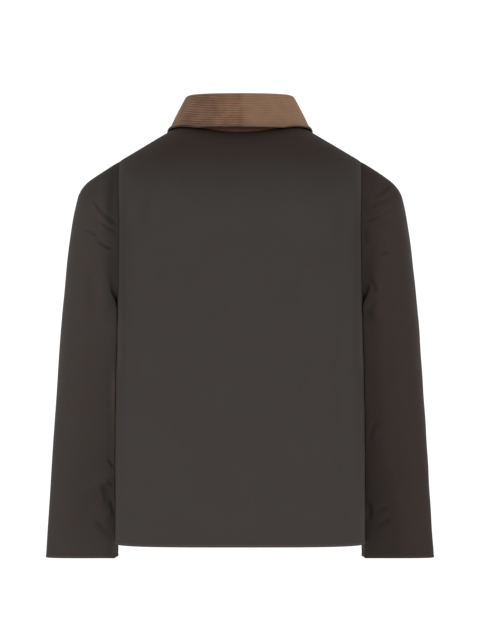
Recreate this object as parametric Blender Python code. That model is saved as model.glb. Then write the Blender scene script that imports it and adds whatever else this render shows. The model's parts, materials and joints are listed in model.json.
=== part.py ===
"""Waxed cotton jacket: a boxy hip-length coat with a turned-down corduroy collar.

Every cut piece is a closed wall of cloth of its own, held open as if worn. Metres, +Z up. The front
faces -Y, the back faces +Y, and +X is the wearer's left. The origin is the middle of the neck
opening, level with the neck seam, where a wearer's neck and shoulders carry the coat.

The back and the fronts lie on one hollow form. Its level sections are rounded boxes, and above
ARCH_LEVEL it rounds over to a ridge that slopes down along each shoulder. Seams are curves on that
form. The sleeves are tubes that start at the armholes. The collar is carried round the neck seam.
"""

import math

import bmesh
import bpy
import numpy as np
from mathutils import Matrix, Vector


def table(columns, *rows):
    """A small table of sizes: a named column for each word of columns."""
    return {name: np.array([row[i] for row in rows]) for i, name in enumerate(columns.split())}


# Walls and gaps
CLOTH = 0.0020
CORDUROY = 0.0020
UNDER_COLLAR_CLOTH = 0.0014
SEAM_GAP = 0.0003

# The body's form
HEM_LEVEL = -0.6550
HEM_RISE = 0.0023
ARCH_LEVEL = -0.1300
SECTION_POWER = 3.5
ARCH_POWER = 2.2
BODY = table(
    "level half_width back front",
    (-0.655, 0.1995, 0.1150, 0.1190),
    (-0.450, 0.1992, 0.1160, 0.1230),
    (-0.300, 0.1985, 0.1190, 0.1270),
    (-0.130, 0.1970, 0.1190, 0.1260),
)

# The shoulder ridge: a straight slope that levels out under the collar
RIDGE_CREST = 0.0170
RIDGE_PLACE = 0.1224
RIDGE_HEIGHT = -0.0032
RIDGE_SLOPE = 0.59
RIDGE_SOFTNESS = 0.0040

# The neck seam, an oval in plan
NECK_HALF_WIDTH = 0.1000
NECK_BACK = 0.0620
NECK_FRONT = 0.1160

# The armholes
SHOULDER_POINT_LEVEL = -0.0450
ARMPIT_LEVEL = -0.2700
ARMHOLE_DEPTH = {"back": 0.0600, "front": 0.0660}
ARMHOLE_POWER = {"top": 2.2, "low": 8.0}

# The front closure: the wearer's left front laps over the right one, raised as far as LAP_PLACE
LAP = 0.0200
LAP_LIFT = CLOTH + 0.0005
LAP_PLACE = 0.0300
LAP_FADE = 0.0300
LAP_COLUMN = 0.0235
LAP_CORNER_CLIMB = (0.93, 0.96)
BUTTON_COUNT = 5
BUTTON_TOP_LEVEL = -0.1150
BUTTON_SPACING = 0.1150
BUTTON_RADIUS = 0.0110
BUTTON_THICKNESS = 0.0038
BUTTON_SIDES = 32
BUTTON_HOLE_RADIUS = 0.0011
BUTTON_HOLE_SPREAD = 0.0024
BUTTON_HOLE_SIDES = 6

# The button's turned profile, from the edge of its back over the rim to its dished middle
BUTTON_PROFILE = table(
    "inset height",
    (0.0014, 0.0000),
    (0.0000, 0.0010),
    (0.0000, BUTTON_THICKNESS - 0.0010),
    (0.0010, BUTTON_THICKNESS),
    (0.0026, BUTTON_THICKNESS - 0.0004),
    (0.0036, BUTTON_THICKNESS - 0.0013),
)

# The sleeve's sections, from the armhole to the cuff, each a ring between an inner point beside the
# body and an outer point, with its depth from front to back
SLEEVE = table(
    "inner_x inner_z outer_x outer_z half_depth centre_y",
    (0.1985, -0.2700, 0.1943, -0.0450, 0.0630, -0.0030),
    (0.2003, -0.2675, 0.2152, -0.0586, 0.0637, -0.0028),
    (0.2002, -0.2685, 0.2296, -0.0682, 0.0644, -0.0026),
    (0.1997, -0.2712, 0.2424, -0.0778, 0.0651, -0.0025),
    (0.1985, -0.2755, 0.2512, -0.0874, 0.0657, -0.0025),
    (0.1969, -0.2805, 0.2568, -0.0970, 0.0663, -0.0027),
    (0.1949, -0.2865, 0.2600, -0.1066, 0.0669, -0.0032),
    (0.1922, -0.2960, 0.2656, -0.1306, 0.0680, -0.0040),
    (0.1905, -0.3070, 0.2696, -0.1546, 0.0690, -0.0050),
    (0.1893, -0.3200, 0.2762, -0.2026, 0.0705, -0.0080),
    (0.1890, -0.3350, 0.2812, -0.2506, 0.0712, -0.0110),
    (0.1890, -0.3520, 0.2860, -0.2986, 0.0712, -0.0140),
    (0.1905, -0.4150, 0.2932, -0.3946, 0.0650, -0.0220),
    (0.1925, -0.5000, 0.3000, -0.4906, 0.0555, -0.0290),
    (0.1945, -0.5900, 0.3064, -0.5866, 0.0440, -0.0330),
    (0.1965, -0.6802, 0.3124, -0.6802, 0.0310, -0.0350),
)
SLEEVE_POWER = {"outer": 2.6, "inner": 10.0}
SQUARE_STATIONS = (1.0, 5.0)
SLEEVE_CLEARANCE = table("at gap", (11.0, 0.0010), (13.0, 0.0005))
SLEEVE_SOFTNESS = 0.0004
SLEEVE_FREEDOM = 0.0150
CAP_STATIONS = 11
SLEEVE_TUBE_RINGS = 13
FOLD_FADE_AT_ARMHOLE = 3.0
FOLD_FADE_AT_CUFF = 0.5

# Soft folds of the sleeves. around is the angle from the outer edge towards the back, level is the
# height of the middle, slant is the rise for each metre round, height is the swell of the cloth
SLEEVE_FOLDS = {
    "left": table(
        "around level length width slant height",
        (75.0, -0.125, 0.034, 0.0100, -1.10, 0.0030),
        (115.0, -0.160, 0.030, 0.0090, -0.80, 0.0024),
        (120.0, -0.555, 0.030, 0.0120, 0.50, 0.0026),
        (250.0, -0.150, 0.036, 0.0110, -0.90, 0.0028),
        (285.0, -0.400, 0.034, 0.0130, 0.40, 0.0026),
    ),
    "right": table(
        "around level length width slant height",
        (85.0, -0.120, 0.042, 0.0130, 0.90, 0.0034),
        (120.0, -0.285, 0.028, 0.0110, 0.50, 0.0024),
        (110.0, -0.590, 0.032, 0.0120, -0.40, 0.0026),
        (255.0, -0.160, 0.036, 0.0110, 0.80, 0.0028),
        (280.0, -0.430, 0.034, 0.0130, -0.50, 0.0026),
    ),
}

# The collar's profile round the neck seam. around is the angle from the centre back. crest is the
# top of the fold, edge is the free edge of the fall, and out is how far each lies outside the seam
COLLAR = table(
    "around crest_level crest_out edge_level edge_out spread",
    (0.0, 0.0592, -0.0125, 0.0062, 0.0140, 0.0000),
    (45.0, 0.0590, -0.0145, 0.0055, 0.0132, 0.0000),
    (70.0, 0.0578, -0.0158, 0.0045, 0.0129, 0.0000),
    (90.0, 0.0540, -0.0172, 0.0034, 0.0114, 0.0000),
    (115.0, 0.0440, -0.0120, -0.0200, 0.0185, 0.0010),
    (145.0, 0.0070, -0.0050, -0.0720, 0.0200, 0.0100),
    (176.0, -0.0350, -0.0020, -0.1200, 0.0200, 0.0340),
)
COLLAR_END_PLACE = 0.0100
FOLD_RADIUS = 0.0045
FOLD_END_ANGLE = 18.0
FALL_BOW = 0.0008
FALL_SPREAD_POWER = 1.5
STAND_STEPS = 4
FOLD_STEPS = 5
FALL_STEPS = 6
COLLAR_CLEARANCE = 0.0045

# How finely the pieces are divided
NECK_STEPS = 6
SHOULDER_STEPS = 6
SIDE_ROWS = 11
EDGE_FADE = 2
ARMHOLE_STEPS = 12

# Rows of a body piece follow its side seam and armhole at the edge. Above BEND_LEVEL they rise at
# the centre line by share x (BEND_START + (1 - BEND_START) x share) of the way to the shoulder
BEND_LEVEL = -0.4000
BEND_START = 0.3
BEND_FADE = 3
ARCH_LENGTH = 0.2100

# Colour, roughness and metallic value of each material
FINISHES = {
    "waxed_cotton": ((0.052, 0.045, 0.041, 1.0), 0.62, 0.0),
    "corduroy": ((0.185, 0.112, 0.070, 1.0), 0.88, 0.0),
    "button_horn": ((0.045, 0.028, 0.018, 1.0), 0.35, 0.0),
}


def glide(places, values, at):
    """A smooth curve through a table: cubic Hermite pieces whose slopes come from the neighbours."""
    slopes = np.gradient(values, places)
    at = np.clip(at, places[0], places[-1])
    i = np.clip(np.searchsorted(places, at, side="right") - 1, 0, len(places) - 2)
    span = places[i + 1] - places[i]
    f = (at - places[i]) / span
    start = (1 + 2 * f) * (1 - f) ** 2 * values[i] + f * (1 - f) ** 2 * span * slopes[i]
    end = f * f * (3 - 2 * f) * values[i + 1] - f * f * (1 - f) * span * slopes[i + 1]
    return start + end


def rounded(angle, top, low):
    """Places along and across a ring of half width 1, in each direction from its middle. Its reach
    is (|cos|^p + |sin|^p)^(-1/p), where p is top in the half where cos is above 0 and low in the
    other: 2 gives a circle, and more gives a squarer ring."""
    cosine, sine = np.cos(angle), np.sin(angle)
    p = np.where(cosine > 0, top, low)
    reach = (np.abs(cosine) ** p + np.abs(sine) ** p) ** (-1 / p)
    return reach * cosine, reach * sine


def ring_powers(at):
    """Powers of the sleeve's rings: the armhole's, which turn into the sleeve's own on the way."""
    first, last = SQUARE_STATIONS
    grown = smooth_step((at - first) / (last - first))
    top, low = ARMHOLE_POWER["top"], ARMHOLE_POWER["low"]
    return top + (SLEEVE_POWER["outer"] - top) * grown, low + (SLEEVE_POWER["inner"] - low) * grown


def smooth_step(f):
    """Rises from 0 to 1 with level ends."""
    f = np.clip(f, 0.0, 1.0)
    return f * f * (3 - 2 * f)


def unit(vectors):
    """Vectors scaled to a length of one."""
    return vectors / np.linalg.norm(vectors, axis=-1, keepdims=True)


# ---------------------------------------------------------------- the body's form


def quarter_section():
    """A quarter of the body's section, as length run, share of the width and share of the depth."""
    angle = np.linspace(0.0, math.pi / 2, 721)
    across = np.sin(angle) ** (2 / SECTION_POWER)
    deep = np.cos(angle) ** (2 / SECTION_POWER)
    steps = np.hypot(np.diff(across) * BODY["half_width"][0], np.diff(deep) * BODY["back"][0])
    run = np.concatenate(([0.0], np.cumsum(steps)))
    return run / run[-1], across, deep


SECTION_RUN, SECTION_ACROSS, SECTION_DEEP = quarter_section()


def section(turn):
    """Shares of the width and depth at turn: 0 at a centre line, 1 or -1 at a side seam, by length."""
    across = np.sign(turn) * np.interp(np.abs(turn), SECTION_RUN, SECTION_ACROSS)
    return across, np.interp(np.abs(turn), SECTION_RUN, SECTION_DEEP)


def turn_at(x, half_width):
    """The turn at which a section of that half width is x from the centre line. It is read from the
    depth near the side, where the width hardly changes, and from the width elsewhere."""
    share = np.clip(np.abs(x) / half_width, 0.0, 1.0)
    deep = (1 - share**SECTION_POWER) ** (1 / SECTION_POWER)
    by_deep = np.interp(deep, SECTION_DEEP[::-1], SECTION_RUN[::-1])
    by_across = np.interp(share, SECTION_ACROSS, SECTION_RUN)
    return np.sign(x) * np.where(share > deep, by_deep, by_across)


def ridge(x):
    """Height of the shoulder ridge: the softer lower of the crest and the shoulder's slope."""
    slope = RIDGE_HEIGHT - RIDGE_SLOPE * (np.abs(x) - RIDGE_PLACE)
    return -RIDGE_SOFTNESS * np.logaddexp(-RIDGE_CREST / RIDGE_SOFTNESS, -slope / RIDGE_SOFTNESS)


def form(turn, climb, half):
    """A point of the form. climb runs from -1 at the hem to 0 at ARCH_LEVEL by height, and on to 1
    at the ridge by angle, along a quarter of a rounded arch whose foot is the section below."""
    across, deep = section(turn)
    level = ARCH_LEVEL + np.minimum(climb, 0.0) * (ARCH_LEVEL - HEM_LEVEL)
    angle = np.maximum(climb, 0.0) * math.pi / 2
    x = glide(BODY["level"], BODY["half_width"], level) * across
    depth = glide(BODY["level"], BODY[half], level) * deep * np.cos(angle) ** (2 / ARCH_POWER)
    z = level + np.sin(angle) ** (2 / ARCH_POWER) * (ridge(x) - ARCH_LEVEL)
    return np.stack([x, depth if half == "back" else -depth, z], axis=-1)


def form_frame(turn, climb, half):
    """Points of the form with their outward normals and the direction in which climb grows."""
    step = 1e-3
    points = form(turn, climb, half)
    along_turn = form(np.minimum(turn + step, 1), climb, half)
    along_turn = along_turn - form(np.maximum(turn - step, -1), climb, half)
    along_climb = form(turn, np.minimum(climb + step, 1), half)
    along_climb = along_climb - form(turn, np.maximum(climb - step, -1), half)
    normals = unit(np.cross(along_turn, along_climb))
    if half == "back":
        normals = -normals
    return points, normals, unit(along_climb)


def outside(points):
    """How far points lie outside the form, and the way out: the form's equation over its slope."""

    def value(p):
        x, y, z = p[..., 0], p[..., 1], p[..., 2]
        level = np.minimum(z, ARCH_LEVEL)
        width = glide(BODY["level"], BODY["half_width"], level)
        deep = (1 - np.clip(np.abs(x) / width, 0, 0.999) ** SECTION_POWER) ** (1 / SECTION_POWER)
        back = glide(BODY["level"], BODY["back"], level)
        front = glide(BODY["level"], BODY["front"], level)
        reach = np.abs(y) / (np.where(y > 0, back, front) * deep)
        rise = np.maximum(z - ARCH_LEVEL, 0) / (ridge(x) - ARCH_LEVEL)
        return (reach**ARCH_POWER + rise**ARCH_POWER) ** (1 / ARCH_POWER) - 1

    step = 1e-5
    slope = [(value(points + e) - value(points - e)) / (2 * step) for e in np.eye(3) * step]
    slope = np.stack(slope, axis=-1)
    size = np.linalg.norm(slope, axis=-1)
    return value(points) / size, slope / size[..., None]


def armhole(half):
    """Turn and climb down the armhole of one half, from the shoulder point to the armpit. Seen from
    the side it is half of a rounded oval; x on the form is found by halving its range."""
    angle = np.linspace(0.0, math.pi, ARMHOLE_STEPS + 1)
    middle = (SHOULDER_POINT_LEVEL + ARMPIT_LEVEL) / 2
    reach = (SHOULDER_POINT_LEVEL - ARMPIT_LEVEL) / 2
    along, across = rounded(angle, ARMHOLE_POWER["top"], ARMHOLE_POWER["low"])
    z = middle + reach * along
    y = ARMHOLE_DEPTH[half] * np.maximum(across, 0)
    level = np.minimum(z, ARCH_LEVEL)
    width = glide(BODY["level"], BODY["half_width"], level)
    depth = glide(BODY["level"], BODY[half], level)
    low = np.zeros_like(z)
    high = width.copy()
    for _ in range(50):
        x = (low + high) / 2
        deep = (1 - (x / width) ** SECTION_POWER) ** (1 / SECTION_POWER)
        reached = y / (depth * np.maximum(deep, 1e-9))
        risen = np.maximum(z - ARCH_LEVEL, 0) / (ridge(x) - ARCH_LEVEL)
        too_far = reached**ARCH_POWER + risen**ARCH_POWER > 1
        high = np.where(too_far, x, high)
        low = np.where(too_far, low, x)
    risen = np.clip(np.maximum(z - ARCH_LEVEL, 0) / (ridge(x) - ARCH_LEVEL), 0, 1)
    arch = np.arcsin(risen ** (ARCH_POWER / 2)) * 2 / math.pi
    climb = np.where(z > ARCH_LEVEL, arch, (z - ARCH_LEVEL) / (ARCH_LEVEL - HEM_LEVEL))
    climb[0] = 1.0
    turn = turn_at(x, width)
    turn[-1] = 1.0
    return turn, climb


def neck_climb(turn, half):
    """The climb at which a column of cloth reaches the neck seam, or 1 where it ends on the ridge."""
    across, deep = section(turn)
    width = BODY["half_width"][-1]
    share = np.clip(1 - (np.abs(across) * width / NECK_HALF_WIDTH) ** 2, 0, 1)
    y = (NECK_BACK if half == "back" else NECK_FRONT) * np.sqrt(share)
    cosine = np.clip(y / (BODY[half][-1] * deep), 0, 1) ** (ARCH_POWER / 2)
    return np.arccos(cosine) * 2 / math.pi


def neck_turn(x):
    """The turn of a place x across the neck or shoulder."""
    return turn_at(x, BODY["half_width"][-1])


# ---------------------------------------------------------------- walls of cloth


def quad_faces(rows, columns, closed):
    """Faces of a grid of points, counted row by row; closed joins its last column to its first."""
    count = columns if closed else columns - 1
    row, column = np.meshgrid(np.arange(rows - 1), np.arange(count), indexing="ij")
    after = (column + 1) % columns
    corners = [row * columns + column, row * columns + after]
    corners += [(row + 1) * columns + after, (row + 1) * columns + column]
    return np.stack(corners, axis=-1).reshape(-1, 4)


def triangles(quads, points):
    """Two triangles for each quad, parted along its shorter diagonal."""
    a, b, c, d = quads.T
    across = np.linalg.norm(points[a] - points[c], axis=1)
    other = np.linalg.norm(points[b] - points[d], axis=1)
    first = np.where(across < other, [a, b, c], [a, b, d])
    second = np.where(across < other, [a, c, d], [b, c, d])
    return np.concatenate([first.T, second.T])


def wall_mesh(name, outer, inner, closed=False):
    """A closed wall between two grids of points. The outer grid's faces point away from the inner
    grid and both are parted alike; rims join them, only at the end rows of a closed tube."""
    rows, columns, _ = outer.shape
    count = rows * columns
    points = np.concatenate([outer.reshape(-1, 3), inner.reshape(-1, 3)])
    faces = quad_faces(rows, columns, closed)
    across = np.cross(outer[1, 0] - outer[0, 0], outer[0, 1] - outer[0, 0])
    if np.dot(across, outer[0, 0] - inner[0, 0]) > 0:
        faces = faces[:, ::-1]
    faces = triangles(faces, points)
    index = np.arange(count).reshape(rows, columns)
    if closed:
        rims = [np.append(index[0], index[0, 0]), np.append(index[-1], index[-1, 0])[::-1]]
    else:
        loop = [index[0], index[1:, -1], index[-1, :-1][::-1], index[1:-1, 0][::-1], index[0, :1]]
        rims = [np.concatenate(loop)]
    sides = []
    for rim in rims:
        sides.append(np.stack([rim[:-1], rim[1:], rim[1:] + count, rim[:-1] + count], axis=-1))
    sides = np.concatenate(sides)
    edges = {tuple(pair) for face in faces.tolist() for pair in zip(face, face[1:] + face[:1])}
    if (sides[0, 0], sides[0, 1]) in edges:
        sides = sides[:, ::-1]
    everything = np.concatenate([faces, faces[:, ::-1] + count, triangles(sides, points)])
    mesh = bpy.data.meshes.new(name)
    mesh.from_pydata(points.tolist(), [], everything.tolist())
    return mesh


def pull_back(outer, inner, side):
    """Moves one border of a wall half a seam gap back into its piece, square to the border."""
    borders = {
        "first_row": (np.s_[0], np.s_[1]),
        "last_row": (np.s_[-1], np.s_[-2]),
        "first_column": (np.s_[:, 0], np.s_[:, 1]),
        "last_column": (np.s_[:, -1], np.s_[:, -2]),
    }
    border, neighbour = borders[side]
    along = unit(np.gradient(outer[border], axis=0))
    inward = outer[neighbour] - outer[border]
    inward = unit(inward - np.sum(inward * along, axis=-1, keepdims=True) * along)
    outer[border] += inward * SEAM_GAP / 2
    inner[border] += inward * SEAM_GAP / 2


def material(name):
    """One Principled material for a piece, from the table of finishes."""
    colour, roughness, metallic = FINISHES[name]
    made = bpy.data.materials.new(name)
    made.use_nodes = True
    shader = made.node_tree.nodes["Principled BSDF"]
    shader.inputs["Base Color"].default_value = colour
    shader.inputs["Roughness"].default_value = roughness
    shader.inputs["Metallic"].default_value = metallic
    made.diffuse_color = colour
    return made


def add_piece(name, mesh, finish, parent):
    """Puts a mesh in the scene as a named piece with its own material, shaded smooth."""
    piece = bpy.data.objects.new(name, mesh)
    if not mesh.materials:
        mesh.materials.append(material(finish))
    mesh.shade_smooth()
    mesh.set_sharp_from_angle(angle=math.radians(50))
    bpy.context.collection.objects.link(piece)
    piece.parent = parent
    return piece


# ---------------------------------------------------------------- back and fronts


def lap_lift(x):
    """How far the upper front is raised off the form where it laps over the lower one."""
    return LAP_LIFT * smooth_step((LAP_PLACE + LAP_FADE - x) / LAP_FADE)


def body_rows(half):
    """For each row of a body piece from the hem to the shoulder, its turn and climb at the outer
    edge, and its climb at the centre line, which lags behind so that rows run up to the armpit."""
    armhole_turns, armhole_climbs = armhole(half)
    side = np.linspace(-1.0, armhole_climbs[-1], SIDE_ROWS + 1)[:-1]
    turns = np.concatenate([np.ones(SIDE_ROWS), armhole_turns[::-1]])
    climbs = np.concatenate([side, armhole_climbs[::-1]])
    steps = np.linalg.norm(np.diff(form(turns, climbs, half), axis=0), axis=1)
    run = np.concatenate([[0.0], np.cumsum(steps)])
    start = BEND_LEVEL - HEM_LEVEL
    share = (run - start) / (run[-1] - start)
    share_up = share * (BEND_START + (1 - BEND_START) * share)
    rise = (BEND_LEVEL - ARCH_LEVEL) * (1 - share_up) + ARCH_LENGTH * share_up
    even = np.where(rise < 0, rise / (ARCH_LEVEL - HEM_LEVEL), rise / ARCH_LENGTH)
    return turns, climbs, np.where(share < 0, climbs, even)


def spread(top_turns, first, last):
    """Turns of the columns along a row that ends at first and last. Each moves from its place in
    the top row by a share of its ends' moves, which fades on the way to the centre line."""
    start, end = top_turns[0], top_turns[-1]
    near_start = np.clip(top_turns / start, 0, 1) ** EDGE_FADE
    near_end = np.clip(top_turns / end, 0, 1) ** EDGE_FADE
    return top_turns + near_start * (first - start) + near_end * (last - end)


def body_piece(half, top_turns, inner_turns, top_climbs, lifted=False):
    """Outer and inner points of a body piece. Its columns are spread between its two edges as they
    stand along the top row, and end on the neck seam or on the shoulder ridge."""
    edge_turns, climbs, even = body_rows(half)
    turn = np.stack([spread(top_turns, *ends) for ends in zip(inner_turns, edge_turns)])
    bend = np.abs(top_turns / top_turns[-1]) ** BEND_FADE
    climb = even[:, None] + (climbs - even)[:, None] * bend[None, :]
    low = climb + HEM_RISE * (climb * turn) ** 4
    climb = np.where(climb > 0, climb * top_climbs[None, :], low)
    outer, normals, _ = form_frame(turn, climb, half)
    if lifted:
        outer = outer + normals * lap_lift(outer[..., 0])[..., None]
    return outer, outer - normals * CLOTH


def shoulder_turns():
    """Turns of the columns that end on the shoulder seam, from the neck point to the shoulder."""
    return np.linspace(neck_turn(NECK_HALF_WIDTH), armhole("back")[0][0], SHOULDER_STEPS + 1)


def back_neck_turns():
    """Turns of the columns that end on the back neck seam, from the centre outwards."""
    angle = np.linspace(0.0, math.pi / 2, NECK_STEPS + 1)
    return neck_turn(NECK_HALF_WIDTH * np.sin(angle))


def front_neck_turns():
    """Turns of the columns that end on the front neck seam, from the collar's end outwards."""
    last = math.pi - math.asin(LAP_COLUMN / NECK_HALF_WIDTH)
    angle = np.linspace(last, math.pi / 2, NECK_STEPS + 1)
    return neck_turn(np.append(COLLAR_END_PLACE, NECK_HALF_WIDTH * np.sin(angle)))


def make_back(parent):
    """The one-piece back, from side seam to side seam."""
    half = np.concatenate([back_neck_turns(), shoulder_turns()[1:]])
    turns = np.concatenate([-half[:0:-1], half])
    edge_turns = body_rows("back")[0]
    outer, inner = body_piece("back", turns, -edge_turns, neck_climb(turns, "back"))
    for side in ("last_row", "first_column", "last_column"):
        pull_back(outer, inner, side)
    return add_piece("back", wall_mesh("back", outer, inner), "waxed_cotton", parent)


def front_points(lifted):
    """Outer and inner points of a front on the wearer's left; the right one is its mirror image.
    The free corner of its lap stays a little below the neck seam, clear of the collar."""
    width = glide(BODY["level"], BODY["half_width"], np.minimum(0.0, ARCH_LEVEL))
    lap_turn = turn_at(np.array([-LAP, 0.0]), width)
    turns = np.concatenate([lap_turn, front_neck_turns(), shoulder_turns()[1:]])
    top_climbs = neck_climb(turns, "front")
    top_climbs[:2] *= LAP_CORNER_CLIMB
    edge_turns = body_rows("front")[0]
    inner_turns = np.full_like(edge_turns, lap_turn[0])
    outer, inner = body_piece("front", turns, inner_turns, top_climbs, lifted)
    for side in ("last_row", "last_column"):
        pull_back(outer, inner, side)
    return outer, inner


MIRROR = np.array([-1.0, 1.0, 1.0])


def make_fronts(parent):
    """The left front, which laps over, and the right front under it."""
    outer, inner = front_points(lifted=True)
    add_piece("front_left", wall_mesh("front_left", outer, inner), "waxed_cotton", parent)
    outer, inner = front_points(lifted=False)
    mesh = wall_mesh("front_right", outer * MIRROR, inner * MIRROR)
    add_piece("front_right", mesh, "waxed_cotton", parent)


# ---------------------------------------------------------------- sleeves


def armhole_ring():
    """Outer points, normals and ways into the hole, all round the armhole on the wearer's left: from
    the shoulder point down the back to the armpit, and up the front."""
    found = {}
    for half in ("back", "front"):
        turn, climb = armhole(half)
        points, normals, _ = form_frame(turn, climb, half)
        found[half] = points, normals
    points = np.concatenate([found["back"][0], found["front"][0][-2:0:-1]])
    normals = np.concatenate([found["back"][1], found["front"][1][-2:0:-1]])
    along = unit(np.roll(points, -1, axis=0) - np.roll(points, 1, axis=0))
    into = unit(np.cross(normals, along))
    middle = points.mean(axis=0)
    into = into * np.sign(np.sum(into * (middle - points), axis=-1, keepdims=True))
    return points, normals, into


def sleeve_fold_swell(folds, around, levels):
    """Swell of the cloth from the folds: each is a soft ridge, long one way and narrow the other."""
    total = np.zeros_like(levels)
    for i in range(len(folds["level"])):
        turned = (around - folds["around"][i] + 180) % 360 - 180
        run = np.radians(turned) * SLEEVE["half_depth"][0]
        rise = levels - folds["level"][i] - folds["slant"][i] * run
        shape = (run / folds["length"][i]) ** 2 + (rise / folds["width"][i]) ** 2
        total += folds["height"][i] * np.exp(-shape)
    return total


def beside_body(points, at):
    """How far points of a sleeve move out along x to lie just clear of the body's side, which
    reaches half_width x (1 - (|y| / depth)^p)^(1/p). Near the armhole the sleeve is left as it is."""
    x, y, z = points[..., 0], points[..., 1], points[..., 2]
    level = np.minimum(z, ARCH_LEVEL)
    back = glide(BODY["level"], BODY["back"], level)
    front = glide(BODY["level"], BODY["front"], level)
    share = np.clip(np.abs(y) / np.where(y > 0, back, front), 0, 1)
    side = (1 - share**SECTION_POWER) ** (1 / SECTION_POWER)
    side = side * glide(BODY["level"], BODY["half_width"], level)
    side = side + np.interp(at, SLEEVE_CLEARANCE["at"], SLEEVE_CLEARANCE["gap"])
    side = side - SLEEVE_FREEDOM * (1 - smooth_step(at / 4)) - np.maximum(z - ARCH_LEVEL, 0)
    moved = np.logaddexp(x / SLEEVE_SOFTNESS, side / SLEEVE_SOFTNESS)
    return np.stack([moved * SLEEVE_SOFTNESS - x, 0 * x, 0 * x], axis=-1)


def sleeve_points(folds):
    """Outer and inner points of the left sleeve, ring by ring. A ring is a rounded oval between the
    table's inner and outer points; the first ring is the armhole itself."""
    stations = np.arange(len(SLEEVE["inner_x"]), dtype=float)
    tube = np.linspace(CAP_STATIONS - 1, stations[-1], SLEEVE_TUBE_RINGS + 1)
    at = np.concatenate([stations[: CAP_STATIONS - 1], tube])
    sizes = {name: glide(stations, SLEEVE[name], at)[:, None] for name in SLEEVE}
    angle = np.linspace(0.0, 2 * math.pi, 2 * ARMHOLE_STEPS + 1)[:-1][None, :]
    along, across = rounded(angle, *ring_powers(at[:, None]))
    x = (sizes["outer_x"] + sizes["inner_x"]) / 2 + along * (sizes["outer_x"] - sizes["inner_x"]) / 2
    z = (sizes["outer_z"] + sizes["inner_z"]) / 2 + along * (sizes["outer_z"] - sizes["inner_z"]) / 2
    y = sizes["centre_y"] + across * sizes["half_depth"]
    outer = np.stack([x, y, z], axis=-1)
    seam, seam_normals, into = armhole_ring()
    outer[0] = seam + into * SEAM_GAP / 2
    down = np.gradient(outer, axis=0)
    around = np.roll(outer, -1, axis=1) - np.roll(outer, 1, axis=1)
    normals = unit(np.cross(around, down))
    out = outer - outer.mean(axis=1, keepdims=True)
    normals = normals * np.sign(np.sum(normals * out, axis=(1, 2)))[:, None, None]
    fade = smooth_step(at / FOLD_FADE_AT_ARMHOLE)
    fade *= smooth_step((stations[-1] - at) / FOLD_FADE_AT_CUFF)
    swell = sleeve_fold_swell(folds, np.degrees(angle), outer[..., 2])
    outer = outer + normals * (swell * fade[:, None])[..., None]
    outer[1:] += beside_body(outer, at[:, None])[1:]
    inner = outer - normals * CLOTH
    inner[0] = outer[0] - seam_normals * CLOTH
    return outer, inner


def make_sleeves(parent):
    """Both sleeves, each a tube from the armhole to the cuff."""
    for side in ("left", "right"):
        outer, inner = sleeve_points(SLEEVE_FOLDS[side])
        if side == "right":
            outer, inner = outer * MIRROR, inner * MIRROR
        name = f"sleeve_{side}"
        add_piece(name, wall_mesh(name, outer, inner, closed=True), "waxed_cotton", parent)


# ---------------------------------------------------------------- collar


def neck_seam():
    """Points of the neck seam from the right end of the collar, round the back, to the left end,
    with the angle from the centre back and the ways out. The left end follows the raised front."""
    back, front = back_neck_turns(), front_neck_turns()[::-1][1:]
    back_points, _, back_onward = form_frame(back, neck_climb(back, "back"), "back")
    low_points, normals, front_onward = form_frame(front, neck_climb(front, "front"), "front")
    raised = low_points + normals * lap_lift(low_points[:, 0])[:, None]
    onward = np.concatenate([back_onward, front_onward]) * SEAM_GAP
    left = np.concatenate([back_points, raised]) + onward
    right = np.concatenate([back_points, low_points]) + onward
    share = np.concatenate([back_points, low_points])[:, 0] / NECK_HALF_WIDTH
    angle = np.arcsin(np.clip(share, 0, 1))
    angle = np.where(np.arange(len(angle)) > NECK_STEPS, math.pi - angle, angle)
    depth = np.where(angle > math.pi / 2, NECK_FRONT, NECK_BACK)
    out = [depth * np.sin(angle), NECK_HALF_WIDTH * np.cos(angle), 0 * angle]
    out = unit(np.stack(out, axis=-1))
    points = np.concatenate([right[:0:-1] * MIRROR, left])
    out = np.concatenate([out[:0:-1] * MIRROR, out])
    return points, np.degrees(np.concatenate([angle[:0:-1], angle])), out


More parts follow.
